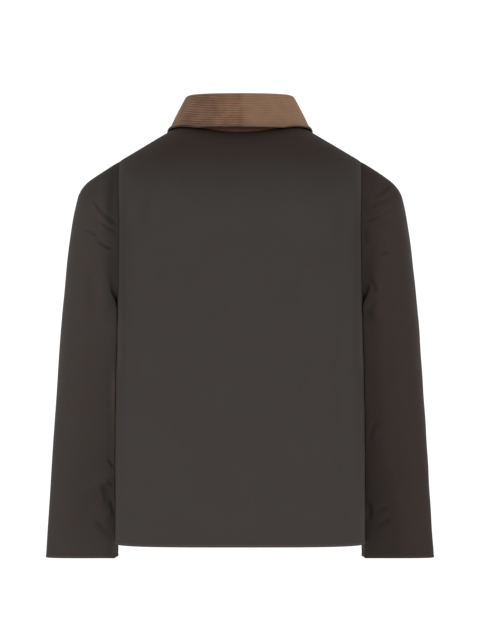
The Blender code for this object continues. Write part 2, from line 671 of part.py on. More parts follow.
def collar_middle():
    """The surface between the two layers of the collar: up the stand, round the fold, down the
    fall. Rows run along that profile and columns round the neck. The fall is then moved out until
    it clears the body all along."""
    base, angle, out = neck_seam()
    size = {name: glide(COLLAR["around"], COLLAR[name], angle)[:, None] for name in COLLAR}
    start_out = -(UNDER_COLLAR_CLOTH + SEAM_GAP / 2)
    crest_up = size["crest_level"] - base[:, 2:3]
    edge_up = size["edge_level"] - base[:, 2:3]
    radius = FOLD_RADIUS
    f = np.linspace(0.0, 1.0, STAND_STEPS + 1)[None, :-1]
    stand_top_out = size["crest_out"] - radius
    stand_top_up = crest_up - radius
    stand_out = start_out + (stand_top_out - start_out) * f
    stand_up = stand_top_up * f
    sweep = np.linspace(math.pi, math.radians(FOLD_END_ANGLE), FOLD_STEPS + 1)[None, :]
    fold_out = size["crest_out"] + radius * np.cos(sweep)
    fold_up = crest_up - radius + radius * np.sin(sweep)
    f = np.linspace(0.0, 1.0, FALL_STEPS + 1)[None, 1:]
    bow = FALL_BOW * np.sin(math.pi * f)
    fall_out = fold_out[:, -1:] + (size["edge_out"] - fold_out[:, -1:]) * f + bow
    fall_up = fold_up[:, -1:] + (edge_up - fold_up[:, -1:]) * f
    outs = np.concatenate([stand_out, fold_out, fall_out], axis=1).T
    ups = np.concatenate([stand_up, fold_up, fall_up], axis=1).T
    middle = base[None, :, :] + outs[..., None] * out[None, :, :]
    middle[..., 2] += ups
    slide = np.zeros(len(outs))
    slide[-FALL_STEPS:] = f[0] ** FALL_SPREAD_POWER
    side = np.sign(base[:, 0])
    middle[..., 0] += slide[:, None] * (size["spread"][:, 0] * side)[None, :]
    for _ in range(4):
        distance, way = outside(middle)
        wanted = COLLAR_CLEARANCE + lap_lift(np.abs(middle[..., 0]))
        short = np.clip(wanted - distance, 0, None)
        short[: STAND_STEPS + 2] = 0
        middle = middle + way * short[..., None]
    return middle


def make_collar(parent):
    """The corduroy top collar and the plain under-collar, one on each side of the middle surface."""
    middle = collar_middle()
    along = np.gradient(middle, axis=0)
    around = np.gradient(middle, axis=1)
    normals = unit(np.cross(around, along))
    centre = middle.shape[1] // 2
    if normals[-1, centre, 1] < 0:
        normals = -normals
    layers = (
        ("collar_top", SEAM_GAP / 2 + CORDUROY, SEAM_GAP / 2, "corduroy"),
        ("collar_under", -SEAM_GAP / 2, -SEAM_GAP / 2 - UNDER_COLLAR_CLOTH, "waxed_cotton"),
    )
    for name, upper, lower, finish in layers:
        mesh = wall_mesh(name, middle + normals * upper, middle + normals * lower)
        add_piece(name, mesh, finish, parent)


# ---------------------------------------------------------------- buttons


def button_disc():
    """The turned disc of a button, its back on the plane z = 0: the profile spun round its axis,
    with both middles closed."""
    shape = bmesh.new()
    radii = BUTTON_RADIUS - BUTTON_PROFILE["inset"]
    rim = [shape.verts.new((r, 0.0, z)) for r, z in zip(radii, BUTTON_PROFILE["height"])]
    for first, second in zip(rim, rim[1:]):
        shape.edges.new((first, second))
    bmesh.ops.spin(
        shape,
        geom=shape.verts[:] + shape.edges[:],
        cent=(0.0, 0.0, 0.0),
        axis=(0.0, 0.0, 1.0),
        angle=2 * math.pi,
        steps=BUTTON_SIDES,
        use_merge=True,
    )
    bmesh.ops.remove_doubles(shape, verts=shape.verts, dist=1e-6)
    bmesh.ops.holes_fill(shape, edges=[edge for edge in shape.edges if edge.is_boundary], sides=0)
    bmesh.ops.recalc_face_normals(shape, faces=shape.faces)
    return shape


def thread_hole_pegs():
    """Four upright pegs where a button's thread holes go."""
    shape = bmesh.new()
    for corner in range(4):
        turned = math.radians(45 + 90 * corner)
        place = Vector((math.cos(turned), math.sin(turned), 0.0)) * BUTTON_HOLE_SPREAD
        bmesh.ops.create_cone(
            shape,
            cap_ends=True,
            segments=BUTTON_HOLE_SIDES,
            radius1=BUTTON_HOLE_RADIUS,
            radius2=BUTTON_HOLE_RADIUS,
            depth=4 * BUTTON_THICKNESS,
            matrix=Matrix.Translation(place),
        )
    return shape


def button_mesh():
    """A button with its thread holes cut through."""
    helpers = []
    for name, shape in (("button_disc", button_disc()), ("thread_holes", thread_hole_pegs())):
        helper = bpy.data.objects.new(name, bpy.data.meshes.new(name))
        shape.to_mesh(helper.data)
        shape.free()
        bpy.context.collection.objects.link(helper)
        helpers.append(helper)
    disc, pegs = helpers
    cut = disc.modifiers.new("thread holes", "BOOLEAN")
    cut.operation = "DIFFERENCE"
    cut.solver = "EXACT"
    cut.object = pegs
    graph = bpy.context.evaluated_depsgraph_get()
    mesh = bpy.data.meshes.new_from_object(disc.evaluated_get(graph))
    mesh.name = "button"
    for helper in helpers:
        bpy.data.objects.remove(helper)
    return mesh


def make_buttons(parent):
    """Buttons down the centre front, each square to the cloth it is sewn on."""
    mesh = button_mesh()
    for number in range(BUTTON_COUNT):
        level = BUTTON_TOP_LEVEL - BUTTON_SPACING * number
        if level > ARCH_LEVEL:
            risen = (level - ARCH_LEVEL) / (ridge(0.0) - ARCH_LEVEL)
            climb = math.asin(risen ** (ARCH_POWER / 2)) * 2 / math.pi
        else:
            climb = (level - ARCH_LEVEL) / (ARCH_LEVEL - HEM_LEVEL)
        points, normals, _ = form_frame(np.array([0.0]), np.array([climb]), "front")
        normal = Vector(normals[0])
        place = Vector(points[0]) + normal * (LAP_LIFT + SEAM_GAP)
        button = add_piece(f"button_{number + 1}", mesh, "button_horn", parent)
        button.location = place
        button.rotation_euler = normal.to_track_quat("Z", "X").to_euler()


def main():
    for old in list(bpy.data.objects):
        bpy.data.objects.remove(old)
    wearer_hold = bpy.data.objects.new("jacket", None)
    bpy.context.collection.objects.link(wearer_hold)
    make_back(wearer_hold)
    make_fronts(wearer_hold)
    make_sleeves(wearer_hold)
    make_collar(wearer_hold)
    make_buttons(wearer_hold)


main()
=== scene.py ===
"""Waxed cotton jacket with a corduroy collar: its cloth, sewing and buttons, and a plain studio.

Metres, +Z up. The back faces +Y, the fronts face -Y, and +X is the wearer's left. The origin is the
middle of the neck opening. Every cut piece is a thin closed wall of cloth on the form of its solid.
"""

import json
import math

import bpy
import numpy as np
from bpy.props import FloatProperty, FloatVectorProperty, PointerProperty
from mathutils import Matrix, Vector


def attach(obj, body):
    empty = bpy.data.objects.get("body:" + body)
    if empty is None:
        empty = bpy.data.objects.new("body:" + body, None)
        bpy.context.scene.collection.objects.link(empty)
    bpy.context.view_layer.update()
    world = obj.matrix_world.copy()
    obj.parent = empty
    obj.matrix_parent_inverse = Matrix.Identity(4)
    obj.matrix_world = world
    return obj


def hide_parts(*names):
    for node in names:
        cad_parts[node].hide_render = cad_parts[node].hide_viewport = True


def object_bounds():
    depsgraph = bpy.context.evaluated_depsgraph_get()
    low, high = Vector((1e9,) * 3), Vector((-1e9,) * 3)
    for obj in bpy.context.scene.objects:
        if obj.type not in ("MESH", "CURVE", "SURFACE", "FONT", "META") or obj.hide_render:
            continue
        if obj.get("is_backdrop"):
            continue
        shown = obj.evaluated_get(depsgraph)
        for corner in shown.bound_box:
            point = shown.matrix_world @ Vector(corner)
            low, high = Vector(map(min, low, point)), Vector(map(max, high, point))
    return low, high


bl_info = {
    "name": "Waxed Cotton Jacket",
    "version": (1, 0, 0),
    "blender": (4, 5, 0),
    "location": "View3D > Sidebar > Jacket",
    "description": "Makes a waxed cotton jacket with a corduroy collar, piece by piece",
    "category": "Object",
}

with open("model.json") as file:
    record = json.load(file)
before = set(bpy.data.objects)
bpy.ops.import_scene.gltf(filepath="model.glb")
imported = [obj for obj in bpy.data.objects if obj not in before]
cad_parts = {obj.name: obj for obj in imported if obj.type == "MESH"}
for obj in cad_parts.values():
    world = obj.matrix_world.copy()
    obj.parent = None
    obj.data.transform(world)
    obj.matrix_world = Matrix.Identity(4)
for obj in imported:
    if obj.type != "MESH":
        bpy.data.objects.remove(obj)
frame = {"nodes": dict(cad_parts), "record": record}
CAD_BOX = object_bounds()
SLOT_COLOURS = {m["slot"]: tuple(m["base_color"][:3]) for m in frame["record"]["materials"]}


def table(columns, *rows):
    """A small table of sizes: a named column for each word of columns."""
    return {name: np.array([row[i] for row in rows]) for i, name in enumerate(columns.split())}


def crease_table(*rows):
    """Creases, each from one place to another, with its width and depth."""
    return table("x0 z0 x1 z1 width depth", *rows)


def fold_table(*rows):
    """Folds of a sleeve, each at an angle round it and a level, with its size and slant."""
    return table("around level length width slant height", *rows)


def shade_table(*rows):
    """How far and how strongly a sleeve is darkened beside the body, level by level."""
    return table("z reach strength", *rows)


# ---- Sizes of the form

CLOTH = 0.0020
CORDUROY = 0.0020
UNDER_COLLAR_CLOTH = 0.0014
SEAM_GAP = 0.0003
SEAM_DIP = 0.0016

HEM_LEVEL = -0.6550
HEM_RISE = 0.0023
ARCH_LEVEL = -0.1300
SECTION_POWER = 3.5
ARCH_POWER = 2.2
# Sections of the body: the half width of each, and its depth behind and before
BODY = table(
    "level half_width back front",
    (-0.655, 0.1995, 0.1150, 0.1190),
    (-0.450, 0.1992, 0.1160, 0.1230),
    (-0.300, 0.1985, 0.1190, 0.1270),
    (-0.130, 0.1970, 0.1190, 0.1260),
)

RIDGE_CREST = 0.0170
RIDGE_PLACE = 0.1224
RIDGE_HEIGHT = -0.0032
RIDGE_SLOPE = 0.59
RIDGE_SOFTNESS = 0.0040

NECK_HALF_WIDTH = 0.1000
NECK_DEPTH = {"back": 0.0620, "front": 0.1160}

SHOULDER_POINT_LEVEL = -0.0450
ARMPIT_LEVEL = -0.2700
ARMHOLE_DEPTH = {"back": 0.0600, "front": 0.0660}
ARMHOLE_POWER = {"top": 2.2, "low": 8.0}

LAP = 0.0200
LAP_LIFT = CLOTH + 0.0005
LAP_PLACE = 0.0300
LAP_FADE = 0.0300
LAP_CORNER = table("x climb", (-0.02, 0.93), (0.0, 0.96), (0.01, 1.0))
BUTTON_COUNT = 5
BUTTON_TOP_LEVEL = -0.1150
BUTTON_SPACING = 0.1150
BUTTON_LEVELS = BUTTON_TOP_LEVEL - BUTTON_SPACING * np.arange(BUTTON_COUNT)
BUTTON_DISH = 0.0025
BUTTON_HOLE_SPREAD = 0.0024

# Rings of the left sleeve from the armhole to the cuff: the point nearest to the body, the one
# farthest out, half the depth and the place of the middle
SLEEVE = table(
    "inner_x inner_z outer_x outer_z half_depth centre_y",
    (0.1985, -0.2700, 0.1943, -0.0450, 0.0630, -0.0030),
    (0.2003, -0.2675, 0.2152, -0.0586, 0.0637, -0.0028),
    (0.2002, -0.2685, 0.2296, -0.0682, 0.0644, -0.0026),
    (0.1997, -0.2712, 0.2424, -0.0778, 0.0651, -0.0025),
    (0.1985, -0.2755, 0.2512, -0.0874, 0.0657, -0.0025),
    (0.1969, -0.2805, 0.2568, -0.0970, 0.0663, -0.0027),
    (0.1949, -0.2865, 0.2600, -0.1066, 0.0669, -0.0032),
    (0.1922, -0.2960, 0.2656, -0.1306, 0.0680, -0.0040),
    (0.1905, -0.3070, 0.2696, -0.1546, 0.0690, -0.0050),
    (0.1893, -0.3200, 0.2762, -0.2026, 0.0705, -0.0080),
    (0.1890, -0.3350, 0.2812, -0.2506, 0.0712, -0.0110),
    (0.1890, -0.3520, 0.2860, -0.2986, 0.0712, -0.0140),
    (0.1905, -0.4150, 0.2932, -0.3946, 0.0650, -0.0220),
    (0.1925, -0.5000, 0.3000, -0.4906, 0.0555, -0.0290),
    (0.1945, -0.5900, 0.3064, -0.5866, 0.0440, -0.0330),
    (0.1965, -0.6802, 0.3124, -0.6802, 0.0310, -0.0350),
)
SLEEVE_POWER = {"outer": 2.6, "inner": 10.0}
SQUARE_STATIONS = (1.0, 5.0)
SLEEVE_CLEARANCE = table("at gap", (10.0, 0.0008), (12.0, 0.0003))
SLEEVE_SOFTNESS = 0.0004
SLEEVE_FREEDOM = 0.0150
UNDERARM_LEVEL = -0.278
UNDERARM_HEIGHT = 0.022
UNDERARM_REACH = 0.020
UNDERARM_DEPTH = 0.030
UNDERARM_PULL = 0.85
# Stations of the sleeve over which it comes to lie beside the body, and is drawn to it below
FREEDOM_STATIONS = 4.0
UNDERARM_STATIONS = 2.0
FOLD_FADE_AT_ARMHOLE = 3.0
FOLD_FADE_AT_CUFF = 0.5
CREASE_FADE_AT_ARMHOLE = 0.5
CREASE_FADE_AT_CUFF = 0.2
SLEEVE_FOLDS = {
    "left": fold_table(
        (75.0, -0.125, 0.034, 0.0100, -1.10, 0.0030),
        (115.0, -0.160, 0.030, 0.0090, -0.80, 0.0024),
        (120.0, -0.555, 0.030, 0.0120, 0.50, 0.0026),
        (250.0, -0.150, 0.036, 0.0110, -0.90, 0.0028),
        (285.0, -0.400, 0.034, 0.0130, 0.40, 0.0026),
    ),
    "right": fold_table(
        (85.0, -0.120, 0.042, 0.0130, 0.90, 0.0034),
        (120.0, -0.285, 0.028, 0.0110, 0.50, 0.0024),
        (110.0, -0.590, 0.032, 0.0120, -0.40, 0.0026),
        (255.0, -0.160, 0.036, 0.0110, 0.80, 0.0028),
        (280.0, -0.430, 0.034, 0.0130, -0.50, 0.0026),
    ),
}

# The collar at angles from the centre back: the crest of its fold and the edge of its fall, each
# with its place out from the neck seam, and how far the fall is spread sideways
COLLAR = table(
    "around crest_level crest_out edge_level edge_out spread",
    (0.0, 0.0592, -0.0125, 0.0062, 0.0140, 0.0000),
    (45.0, 0.0590, -0.0145, 0.0055, 0.0132, 0.0000),
    (70.0, 0.0578, -0.0158, 0.0045, 0.0129, 0.0000),
    (90.0, 0.0540, -0.0172, 0.0034, 0.0114, 0.0000),
    (115.0, 0.0440, -0.0120, -0.0200, 0.0185, 0.0010),
    (145.0, 0.0070, -0.0050, -0.0720, 0.0200, 0.0100),
    (176.0, -0.0350, -0.0020, -0.1200, 0.0200, 0.0340),
)
COLLAR_END_PLACE = 0.0100
COLLAR_END_ANGLE = math.pi - math.asin(COLLAR_END_PLACE / NECK_HALF_WIDTH)
FOLD_RADIUS = 0.0045
FOLD_END_ANGLE = 18.0
FALL_BOW = 0.0008
FALL_SPREAD_POWER = 1.5
COLLAR_CLEARANCE = 0.0045

# ---- Fineness

SECTION_POINTS = 721
ARMHOLE_POINTS = 61
ARMHOLE_HALVINGS = 50
ARMHOLE_EDGE_SPACE = 1.2
SLEEVE_PATH_POINTS = 901
SLEEVE_ANGLE_POINTS = 1441
NECK_BACK_POINTS = 25
NECK_FRONT_POINTS = 30
COLLAR_FRONT_POINTS = 34
GRID = 0.0046
SLEEVE_GRID = 0.0027
SLEEVE_COLUMNS = 190
CREASED_ANGLE = 2.2
CREASED_WIDTH = 0.8
CREASED_GAIN = 2.0
EDGE_PLACES = (0.0012, 0.0026, 0.0046, 0.0075)
HEM_PLACES = (0.0012, 0.0026, 0.0040, 0.0050, 0.0056, 0.0062, 0.0070, 0.0082, 0.0105, 0.0140)
HEM_STITCH_PLACE = 0.0056
# Columns of the left and the right front at which their hems' stitches start
LAP_STITCH_COLUMN = 1 + HEM_PLACES.index(HEM_STITCH_PLACE)
UNDERLAP_COLUMN = 12
RIM_STEPS = 3
RIM_POWER = 3.0
RIM_INSET = 0.75
EDGE_FADE = 2
QUARTER_LENGTH = 0.2900
BEND_LEVEL = -0.4000
BEND_START = 0.3
BEND_FADE = 3
ARCH_LENGTH = 0.2100
STAND_STEPS = 40
FOLD_STEPS = 36
FALL_STEPS = 60
CREST_ROW = STAND_STEPS + round(FOLD_STEPS * 90 / (180 - FOLD_END_ANGLE))
CLEARED_ROW = CREST_ROW - 4
CLEARING_ROUNDS = 4
SMOOTHING_ROUNDS = 6
WALE_ROWS = 6

# ---- Stitches, buttonholes and button threads

STITCH_LENGTH = 0.0026
STITCH_PITCH = 0.0036
STITCH_DIP = 0.0003
THREAD_RADIUS = 0.00030
BUTTON_THREAD_RADIUS = 0.00060
BUTTON_THREAD_EXTRA = 0.0010
BUTTON_THREAD_DIP = 0.0010
BUTTONHOLE_PLACE = 0.0075
BUTTONHOLE_HALF_LENGTH = 0.0125
BUTTONHOLE_HALF_WIDTH = 0.0013
BUTTONHOLE_END_POWER = 0.35
BUTTONHOLE_SIDE_POWER = 0.7
BUTTONHOLE_POINTS = 48
BUTTONHOLE_RAISE = 0.0002
BUTTONHOLE_THREAD_RADIUS = 0.0007
SIX_ANGLES = np.arange(6) * math.pi / 3
SEAMS = []

# ---- Relief, wear and painted light

# The groove under a hem's stitches and the pillow beside it: height, place and width of each
HEM_RELIEF = ((-0.00030, HEM_STITCH_PLACE, 0.0009), (0.00025, 0.0026, 0.0022))
WAVE_COUNT = 7
WAVE_WAYS = (1.0, 0.5, 0.6)
WAVE_LENGTHS = (0.06, 0.16)
WAVE_SUM = 2.6
WAVE_FADE = 0.03
CALM_WIDTH = 0.005
# How far a sleeve's cloth sinks at the armhole seam, and over what width
ARMHOLE_ROLL = (0.0006, 0.0050)
SEEDS = {"back": 11, "front_left": 23, "front_right": 37, "sleeve_left": 41, "sleeve_right": 53}
CREASE_DEPTH = 0.0022
CREASE_BEND = 0.06
CREASE_END = 0.05
CREASE_FADE = 0.3
FRONT_CREASING = {"left": 1.0, "right": 0.6}
# How fast creases, and the painted light on the sides, come in where the cloth turns to face the back or the
# front
BODY_FACING = 2.0
SLEEVE_FACING = 2.2
PAINTED_LIGHT_BODY_FACING = 2.5
PAINTED_LIGHT_SLEEVE_FACING = 4.0
# The ridges beside a crease, by its width: height, place and spread of each
CREASE_RIDGES = ((0.4, 2.0, 1.4), (0.3, -2.0, 1.4))
WEAR_WIDTH = 0.004
SEAM_WEAR = 0.6
SIDE_PLACE = 0.1995
# Painted light on the body's sides and on the sleeves beside the body, which lightens the shade between them:
# levels, widths and strengths
PAINTED_LIGHT_BODY_LEVEL = -0.40
PAINTED_LIGHT_SLEEVE_LEVEL = -0.36
PAINTED_LIGHT_FADE = 0.05
PAINTED_LIGHT_SIDE = 0.012
PAINTED_LIGHT_SIDE_MORE = 0.004
PAINTED_LIGHT_SIDE_FADE = 0.010
PAINTED_LIGHT_SIDE_STRENGTH = 0.8
PAINTED_LIGHT_SIDE_STRENGTH_MORE = 0.4
PAINTED_LIGHT_SLEEVE_STRENGTH = {"left": 1.9, "right": 0.5}
PAINTED_LIGHT_SLEEVE_WIDTH = 0.0045
BODY_SHADE_LEVELS = (-0.60, -0.05)
SHADE_WIDTH = 0.022

# The collar's wales, the painted sheen of its nap and its painted shade, by distance from its edges and
# across from the centre back
WALE_FADE = 0.0022
WALE_TONE_FADE = 0.0012
COLLAR_WEAR_WIDTH = 0.003
# Painted sheen of the nap: how fast it comes in across the centre back, and the notch of less sheen there
PAINTED_SHEEN_TURN = 0.012
PAINTED_SHEEN_NOTCH = 0.0045
PAINTED_SHEEN_NOTCH_DEPTH = 0.55
PAINTED_SHEEN_NOTCH_END = 0.02
FALL_SHADE = 0.7
FALL_SHADE_WIDTH = 0.0075
SIDE_SHADE = 0.45
SIDE_SHADE_START = 0.015
SIDE_SHADE_WIDTH = 0.06

# Each crease is a soft trough between two places, with a low ridge on each side; a negative depth
# makes it a ridge. Places on a sleeve, and on a front, are those of the left one.
BACK_CREASES = crease_table(
    (0.1440, -0.104, 0.1465, -0.152, 0.0080, 0.00050),
    (-0.1560, -0.110, -0.1520, -0.170, 0.0090, 0.00045),
    (-0.1770, -0.170, -0.1760, -0.640, 0.0090, 0.00016),
    (0.1790, -0.260, 0.1800, -0.610, 0.0080, 0.00010),
    (0.1180, -0.222, 0.1320, -0.232, 0.0060, 0.00030),
)
SLEEVE_SHADES = {
    "left": shade_table(
        (-0.0500, 0.225, 1.0),
        (-0.2000, 0.222, 0.9),
        (-0.2700, 0.220, 0.8),
        (-0.3300, 0.215, 0.0),
        (-0.4300, 0.215, 0.0),
        (-0.5200, 0.218, 0.6),
        (-0.6000, 0.222, 1.0),
        (-0.6900, 0.222, 0.8),
    ),
    "right": shade_table(
        (-0.0500, 0.225, 0.4),
        (-0.1800, 0.228, 0.9),
        (-0.3000, 0.230, 1.0),
        (-0.4000, 0.232, 0.6),
        (-0.5000, 0.238, 0.5),
        (-0.6000, 0.264, 0.7),
        (-0.6900, 0.270, 0.7),
    ),
}
SLEEVE_CREASES = {
    ("left", "back"): crease_table(
        (0.2340, -0.1070, 0.1930, -0.1520, 0.0024, 0.0018),
        (0.2150, -0.1300, 0.1900, -0.1570, 0.0024, 0.0014),
        (0.2200, -0.1440, 0.1930, -0.1620, 0.0022, 0.0018),
        (0.2470, -0.1575, 0.2240, -0.1675, 0.0021, 0.0014),
        (0.2260, -0.1730, 0.2000, -0.1880, 0.0022, 0.0018),
        (0.2200, -0.1690, 0.1960, -0.1760, 0.0026, -0.0008),
        (0.1985, -0.0560, 0.1975, -0.1700, 0.0060, 0.0012),
        (0.2080, -0.1700, 0.2070, -0.3000, 0.0100, 0.0006),
        (0.2360, -0.2200, 0.2330, -0.2900, 0.0090, 0.0006),
        (0.2120, -0.5200, 0.1990, -0.5370, 0.0024, 0.0018),
        (0.2120, -0.5545, 0.2000, -0.5630, 0.0024, 0.0013),
        (0.2290, -0.5620, 0.2190, -0.5900, 0.0034, -0.0008),
        (0.2150, -0.5600, 0.2080, -0.6040, 0.0070, 0.0012),
        (0.2070, -0.5850, 0.2010, -0.6180, 0.0036, 0.0016),
        (0.2300, -0.6180, 0.2060, -0.6440, 0.0050, 0.0010),
    ),
    ("right", "back"): crease_table(
        (0.2420, -0.0800, 0.2080, -0.1080, 0.0032, 0.0016),
        (0.2390, -0.1080, 0.2020, -0.1240, 0.0034, 0.0016),
        (0.2400, -0.1150, 0.1940, -0.1420, 0.0024, -0.0018),
        (0.2200, -0.1365, 0.1930, -0.1465, 0.0024, 0.0016),
        (0.1965, -0.1040, 0.1970, -0.1320, 0.0036, 0.0014),
        (0.2000, -0.1480, 0.2015, -0.1800, 0.0040, 0.0014),
        (0.2200, -0.1960, 0.2360, -0.1930, 0.0028, 0.0010),
        (0.2050, -0.1900, 0.2050, -0.3100, 0.0090, 0.0008),
        (0.2060, -0.2330, 0.2150, -0.2580, 0.0036, 0.0014),
        (0.2150, -0.2690, 0.2060, -0.2980, 0.0042, 0.0014),
        (0.2110, -0.3700, 0.2120, -0.5300, 0.0110, 0.0005),
        (0.2180, -0.4600, 0.2060, -0.4910, 0.0040, 0.0012),
        (0.2050, -0.5900, 0.2070, -0.6180, 0.0036, 0.0016),
        (0.2370, -0.5990, 0.2150, -0.6090, 0.0036, 0.0012),
        (0.2410, -0.6160, 0.2150, -0.6300, 0.0046, 0.0012),
    ),
    ("left", "front"): crease_table(
        (0.2380, -0.1080, 0.2000, -0.1500, 0.0050, 0.00200),
        (0.2300, -0.1450, 0.1990, -0.1720, 0.0044, 0.00160),
        (0.2560, -0.3900, 0.2120, -0.4120, 0.0060, 0.00150),
        (0.2520, -0.4230, 0.2200, -0.4330, 0.0050, 0.00110),
        (0.2300, -0.5700, 0.2080, -0.5930, 0.0050, 0.00130),
    ),
    ("right", "front"): crease_table(
        (0.2360, -0.1000, 0.2010, -0.1420, 0.0050, 0.00190),
        (0.2340, -0.1400, 0.2020, -0.1640, 0.0046, 0.00150),
        (0.2600, -0.3760, 0.2180, -0.4010, 0.0060, 0.00140),
        (0.2480, -0.4190, 0.2140, -0.4280, 0.0052, 0.00110),
        (0.2350, -0.5920, 0.2110, -0.6080, 0.0050, 0.00120),
    ),
}
FRONT_CREASES = crease_table(
    (0.1500, -0.110, 0.1540, -0.175, 0.0085, 0.00070),
    (0.0550, -0.128, 0.0350, -0.190, 0.0090, 0.00060),
    (0.1750, -0.300, 0.1780, -0.560, 0.0080, 0.00050),
    (0.0900, -0.560, 0.1000, -0.640, 0.0100, 0.00050),
)

# ---- Colours and light

REDDER = (1.08, 0.965, 0.95, 1.0)
GREENER = (0.93, 1.03, 1.02, 1.0)
PALE_WEAR_AND_PAINTED_LIGHT = (2.4, 2.3, 2.2)
SHADED_COTTON = (0.74, 0.79, 0.76, 1.0)
SHADED_CORDUROY = (0.66, 0.68, 0.74, 1.0)
PAINTED_NAP_SHEEN = (1.18, 1.31, 1.34)
SHEEN = (0.95, 0.78, 0.62, 1.0)
DYE_DRIFT = 1.5
BODY_DYE_DRIFT = 0.8
THREAD_PITCH = 0.00042
COTTONS = {}

# Levels between which painted shade darkens the yoke and browns it at the neck, and the tints
TOP_PAINTED_SHADE = (-0.14, -0.02, (0.67, 0.67, 0.67, 1.0))
NECK_PAINTED_SHADE = (-0.085, 0.0, (1.0, 0.73, 0.60, 1.0))

FLOOR_RADIUS = 6.0
SENSOR = 36.0
LIT_PLACE = (0.0, 0.0, -0.33)
CEILING_LIGHT = 0.45
WALL_LIGHT = 1.05
BACK_LIGHT = 0.14
CAMERA_WHITE = 1.1
LIGHTS = (
    ("key", (2.6, 5.2, 0.9), 1.6, 14.0),
    ("fill", (-3.2, -4.6, 0.6), 2.0, 10.0),
)


# ---- Small mathematics


def glide(places, values, at):
    """A smooth curve through a table: cubic Hermite pieces whose slopes come from the neighbours."""
    slopes = np.gradient(values, places)
    at = np.clip(at, places[0], places[-1])
    i = np.clip(np.searchsorted(places, at, side="right") - 1, 0, len(places) - 2)
    span = places[i + 1] - places[i]
    f = (at - places[i]) / span
    start = (1 + 2 * f) * (1 - f) ** 2 * values[i] + f * (1 - f) ** 2 * span * slopes[i]
    end = f * f * (3 - 2 * f) * values[i + 1] - f * f * (1 - f) * span * slopes[i + 1]
    return start + end


def bell(s):
    """A bell curve: exp(-s^2)."""
    return np.exp(-(s**2))


def smooth_step(f):
    """Rises from 0 to 1 with level ends: 3 f squared less 2 f cubed."""
    f = np.clip(f, 0.0, 1.0)
    return f * f * (3 - 2 * f)


def power(base, exponent):
    """A sine or cosine raised to a power with its sign kept, which squares an ellipse's corners."""
    return np.sign(base) * np.abs(base) ** exponent


def rounded(angle, top, low):
    """Places along and across a ring of half width 1, in each direction from its middle. Its reach
    is (|cos|^p + |sin|^p)^(-1/p), where p is top in the half where cos is above 0 and low in the
    other: 2 gives a circle, and more gives a squarer ring."""
    cosine, sine = np.cos(angle), np.sin(angle)
    p = np.where(cosine > 0, top, low)
    reach = (np.abs(cosine) ** p + np.abs(sine) ** p) ** (-1 / p)
    return reach * cosine, reach * sine


def unit(vectors):
    """Vectors scaled to a length of one."""
    return vectors / np.maximum(np.linalg.norm(vectors, axis=-1, keepdims=True), 1e-12)


def mirror_of(sign):
    """Factors that leave a point as it is, or for -1 bring it to the other side."""
    return np.array([float(sign), 1.0, 1.0])


def run_along(steps):
    """The length run at each point of a line, from the lengths of its steps."""
    return np.concatenate([[0.0], np.cumsum(steps)])


def places_along(total, spacing, near_start=(), near_end=()):
    """Places from 0 to total about spacing apart, with the given closer ones at each end."""
    near_start, near_end = np.array(near_start, float), np.array(near_end, float)
    middle = np.linspace(0.0, total, max(2, round(total / spacing)) + 1)
    low = near_start[-1] + spacing / 2 if len(near_start) else 0.0
    high = total - near_end[-1] - spacing / 2 if len(near_end) else total
    middle = middle[(middle > low) & (middle < high)]
    return np.unique(np.concatenate([[0.0, total], near_start, middle, total - near_end]))


# ---- The body's form


def section_depth(share):
    """Depth of the body's section at a share of its half width: (1 - share^p)^(1/p)."""
    return (1 - share**SECTION_POWER) ** (1 / SECTION_POWER)


def quarter_section():
    """A quarter of the body's section, as length run, share of the width and share of the depth."""
    angle = np.linspace(0.0, math.pi / 2, SECTION_POINTS)
    across = np.sin(angle) ** (2 / SECTION_POWER)
    deep = np.cos(angle) ** (2 / SECTION_POWER)
    steps = np.hypot(np.diff(across) * BODY["half_width"][0], np.diff(deep) * BODY["back"][0])
    run = run_along(steps)
    return run / run[-1], across, deep


SECTION_RUN, SECTION_ACROSS, SECTION_DEEP = quarter_section()


def section(turn):
    """Shares of the width and depth at turn: 0 at a centre line, 1 or -1 at a side seam, by length."""
    across = np.sign(turn) * np.interp(np.abs(turn), SECTION_RUN, SECTION_ACROSS)
    return across, np.interp(np.abs(turn), SECTION_RUN, SECTION_DEEP)


def turn_at(x, half_width):
    """The turn at which a section of that half width is x from the centre line. It is read from the
    depth near the side, where the width hardly changes, and from the width elsewhere."""
    share = np.clip(np.abs(x) / half_width, 0.0, 1.0)
    deep = section_depth(share)
    by_deep = np.interp(deep, SECTION_DEEP[::-1], SECTION_RUN[::-1])
    by_across = np.interp(share, SECTION_ACROSS, SECTION_RUN)
    return np.sign(x) * np.where(share > deep, by_deep, by_across)


def body_size(name, level):
    """The body's half width, or the depth of its back or front, at a level."""
    return glide(BODY["level"], BODY[name], level)


def body_depth(y, level):
    """The depth of the body at a level, on the side of the side seams where y lies."""
    return np.where(y > 0, body_size("back", level), body_size("front", level))


def ridge(x):
    """Height of the shoulder ridge: the softer lower of the crest and the shoulder's slope."""
    slope = RIDGE_HEIGHT - RIDGE_SLOPE * (np.abs(x) - RIDGE_PLACE)
    return -RIDGE_SOFTNESS * np.logaddexp(-RIDGE_CREST / RIDGE_SOFTNESS, -slope / RIDGE_SOFTNESS)


def risen(x, z):
    """How far a point has risen from ARCH_LEVEL, as a share of the way to the ridge above it."""
    return np.maximum(z - ARCH_LEVEL, 0) / (ridge(x) - ARCH_LEVEL)


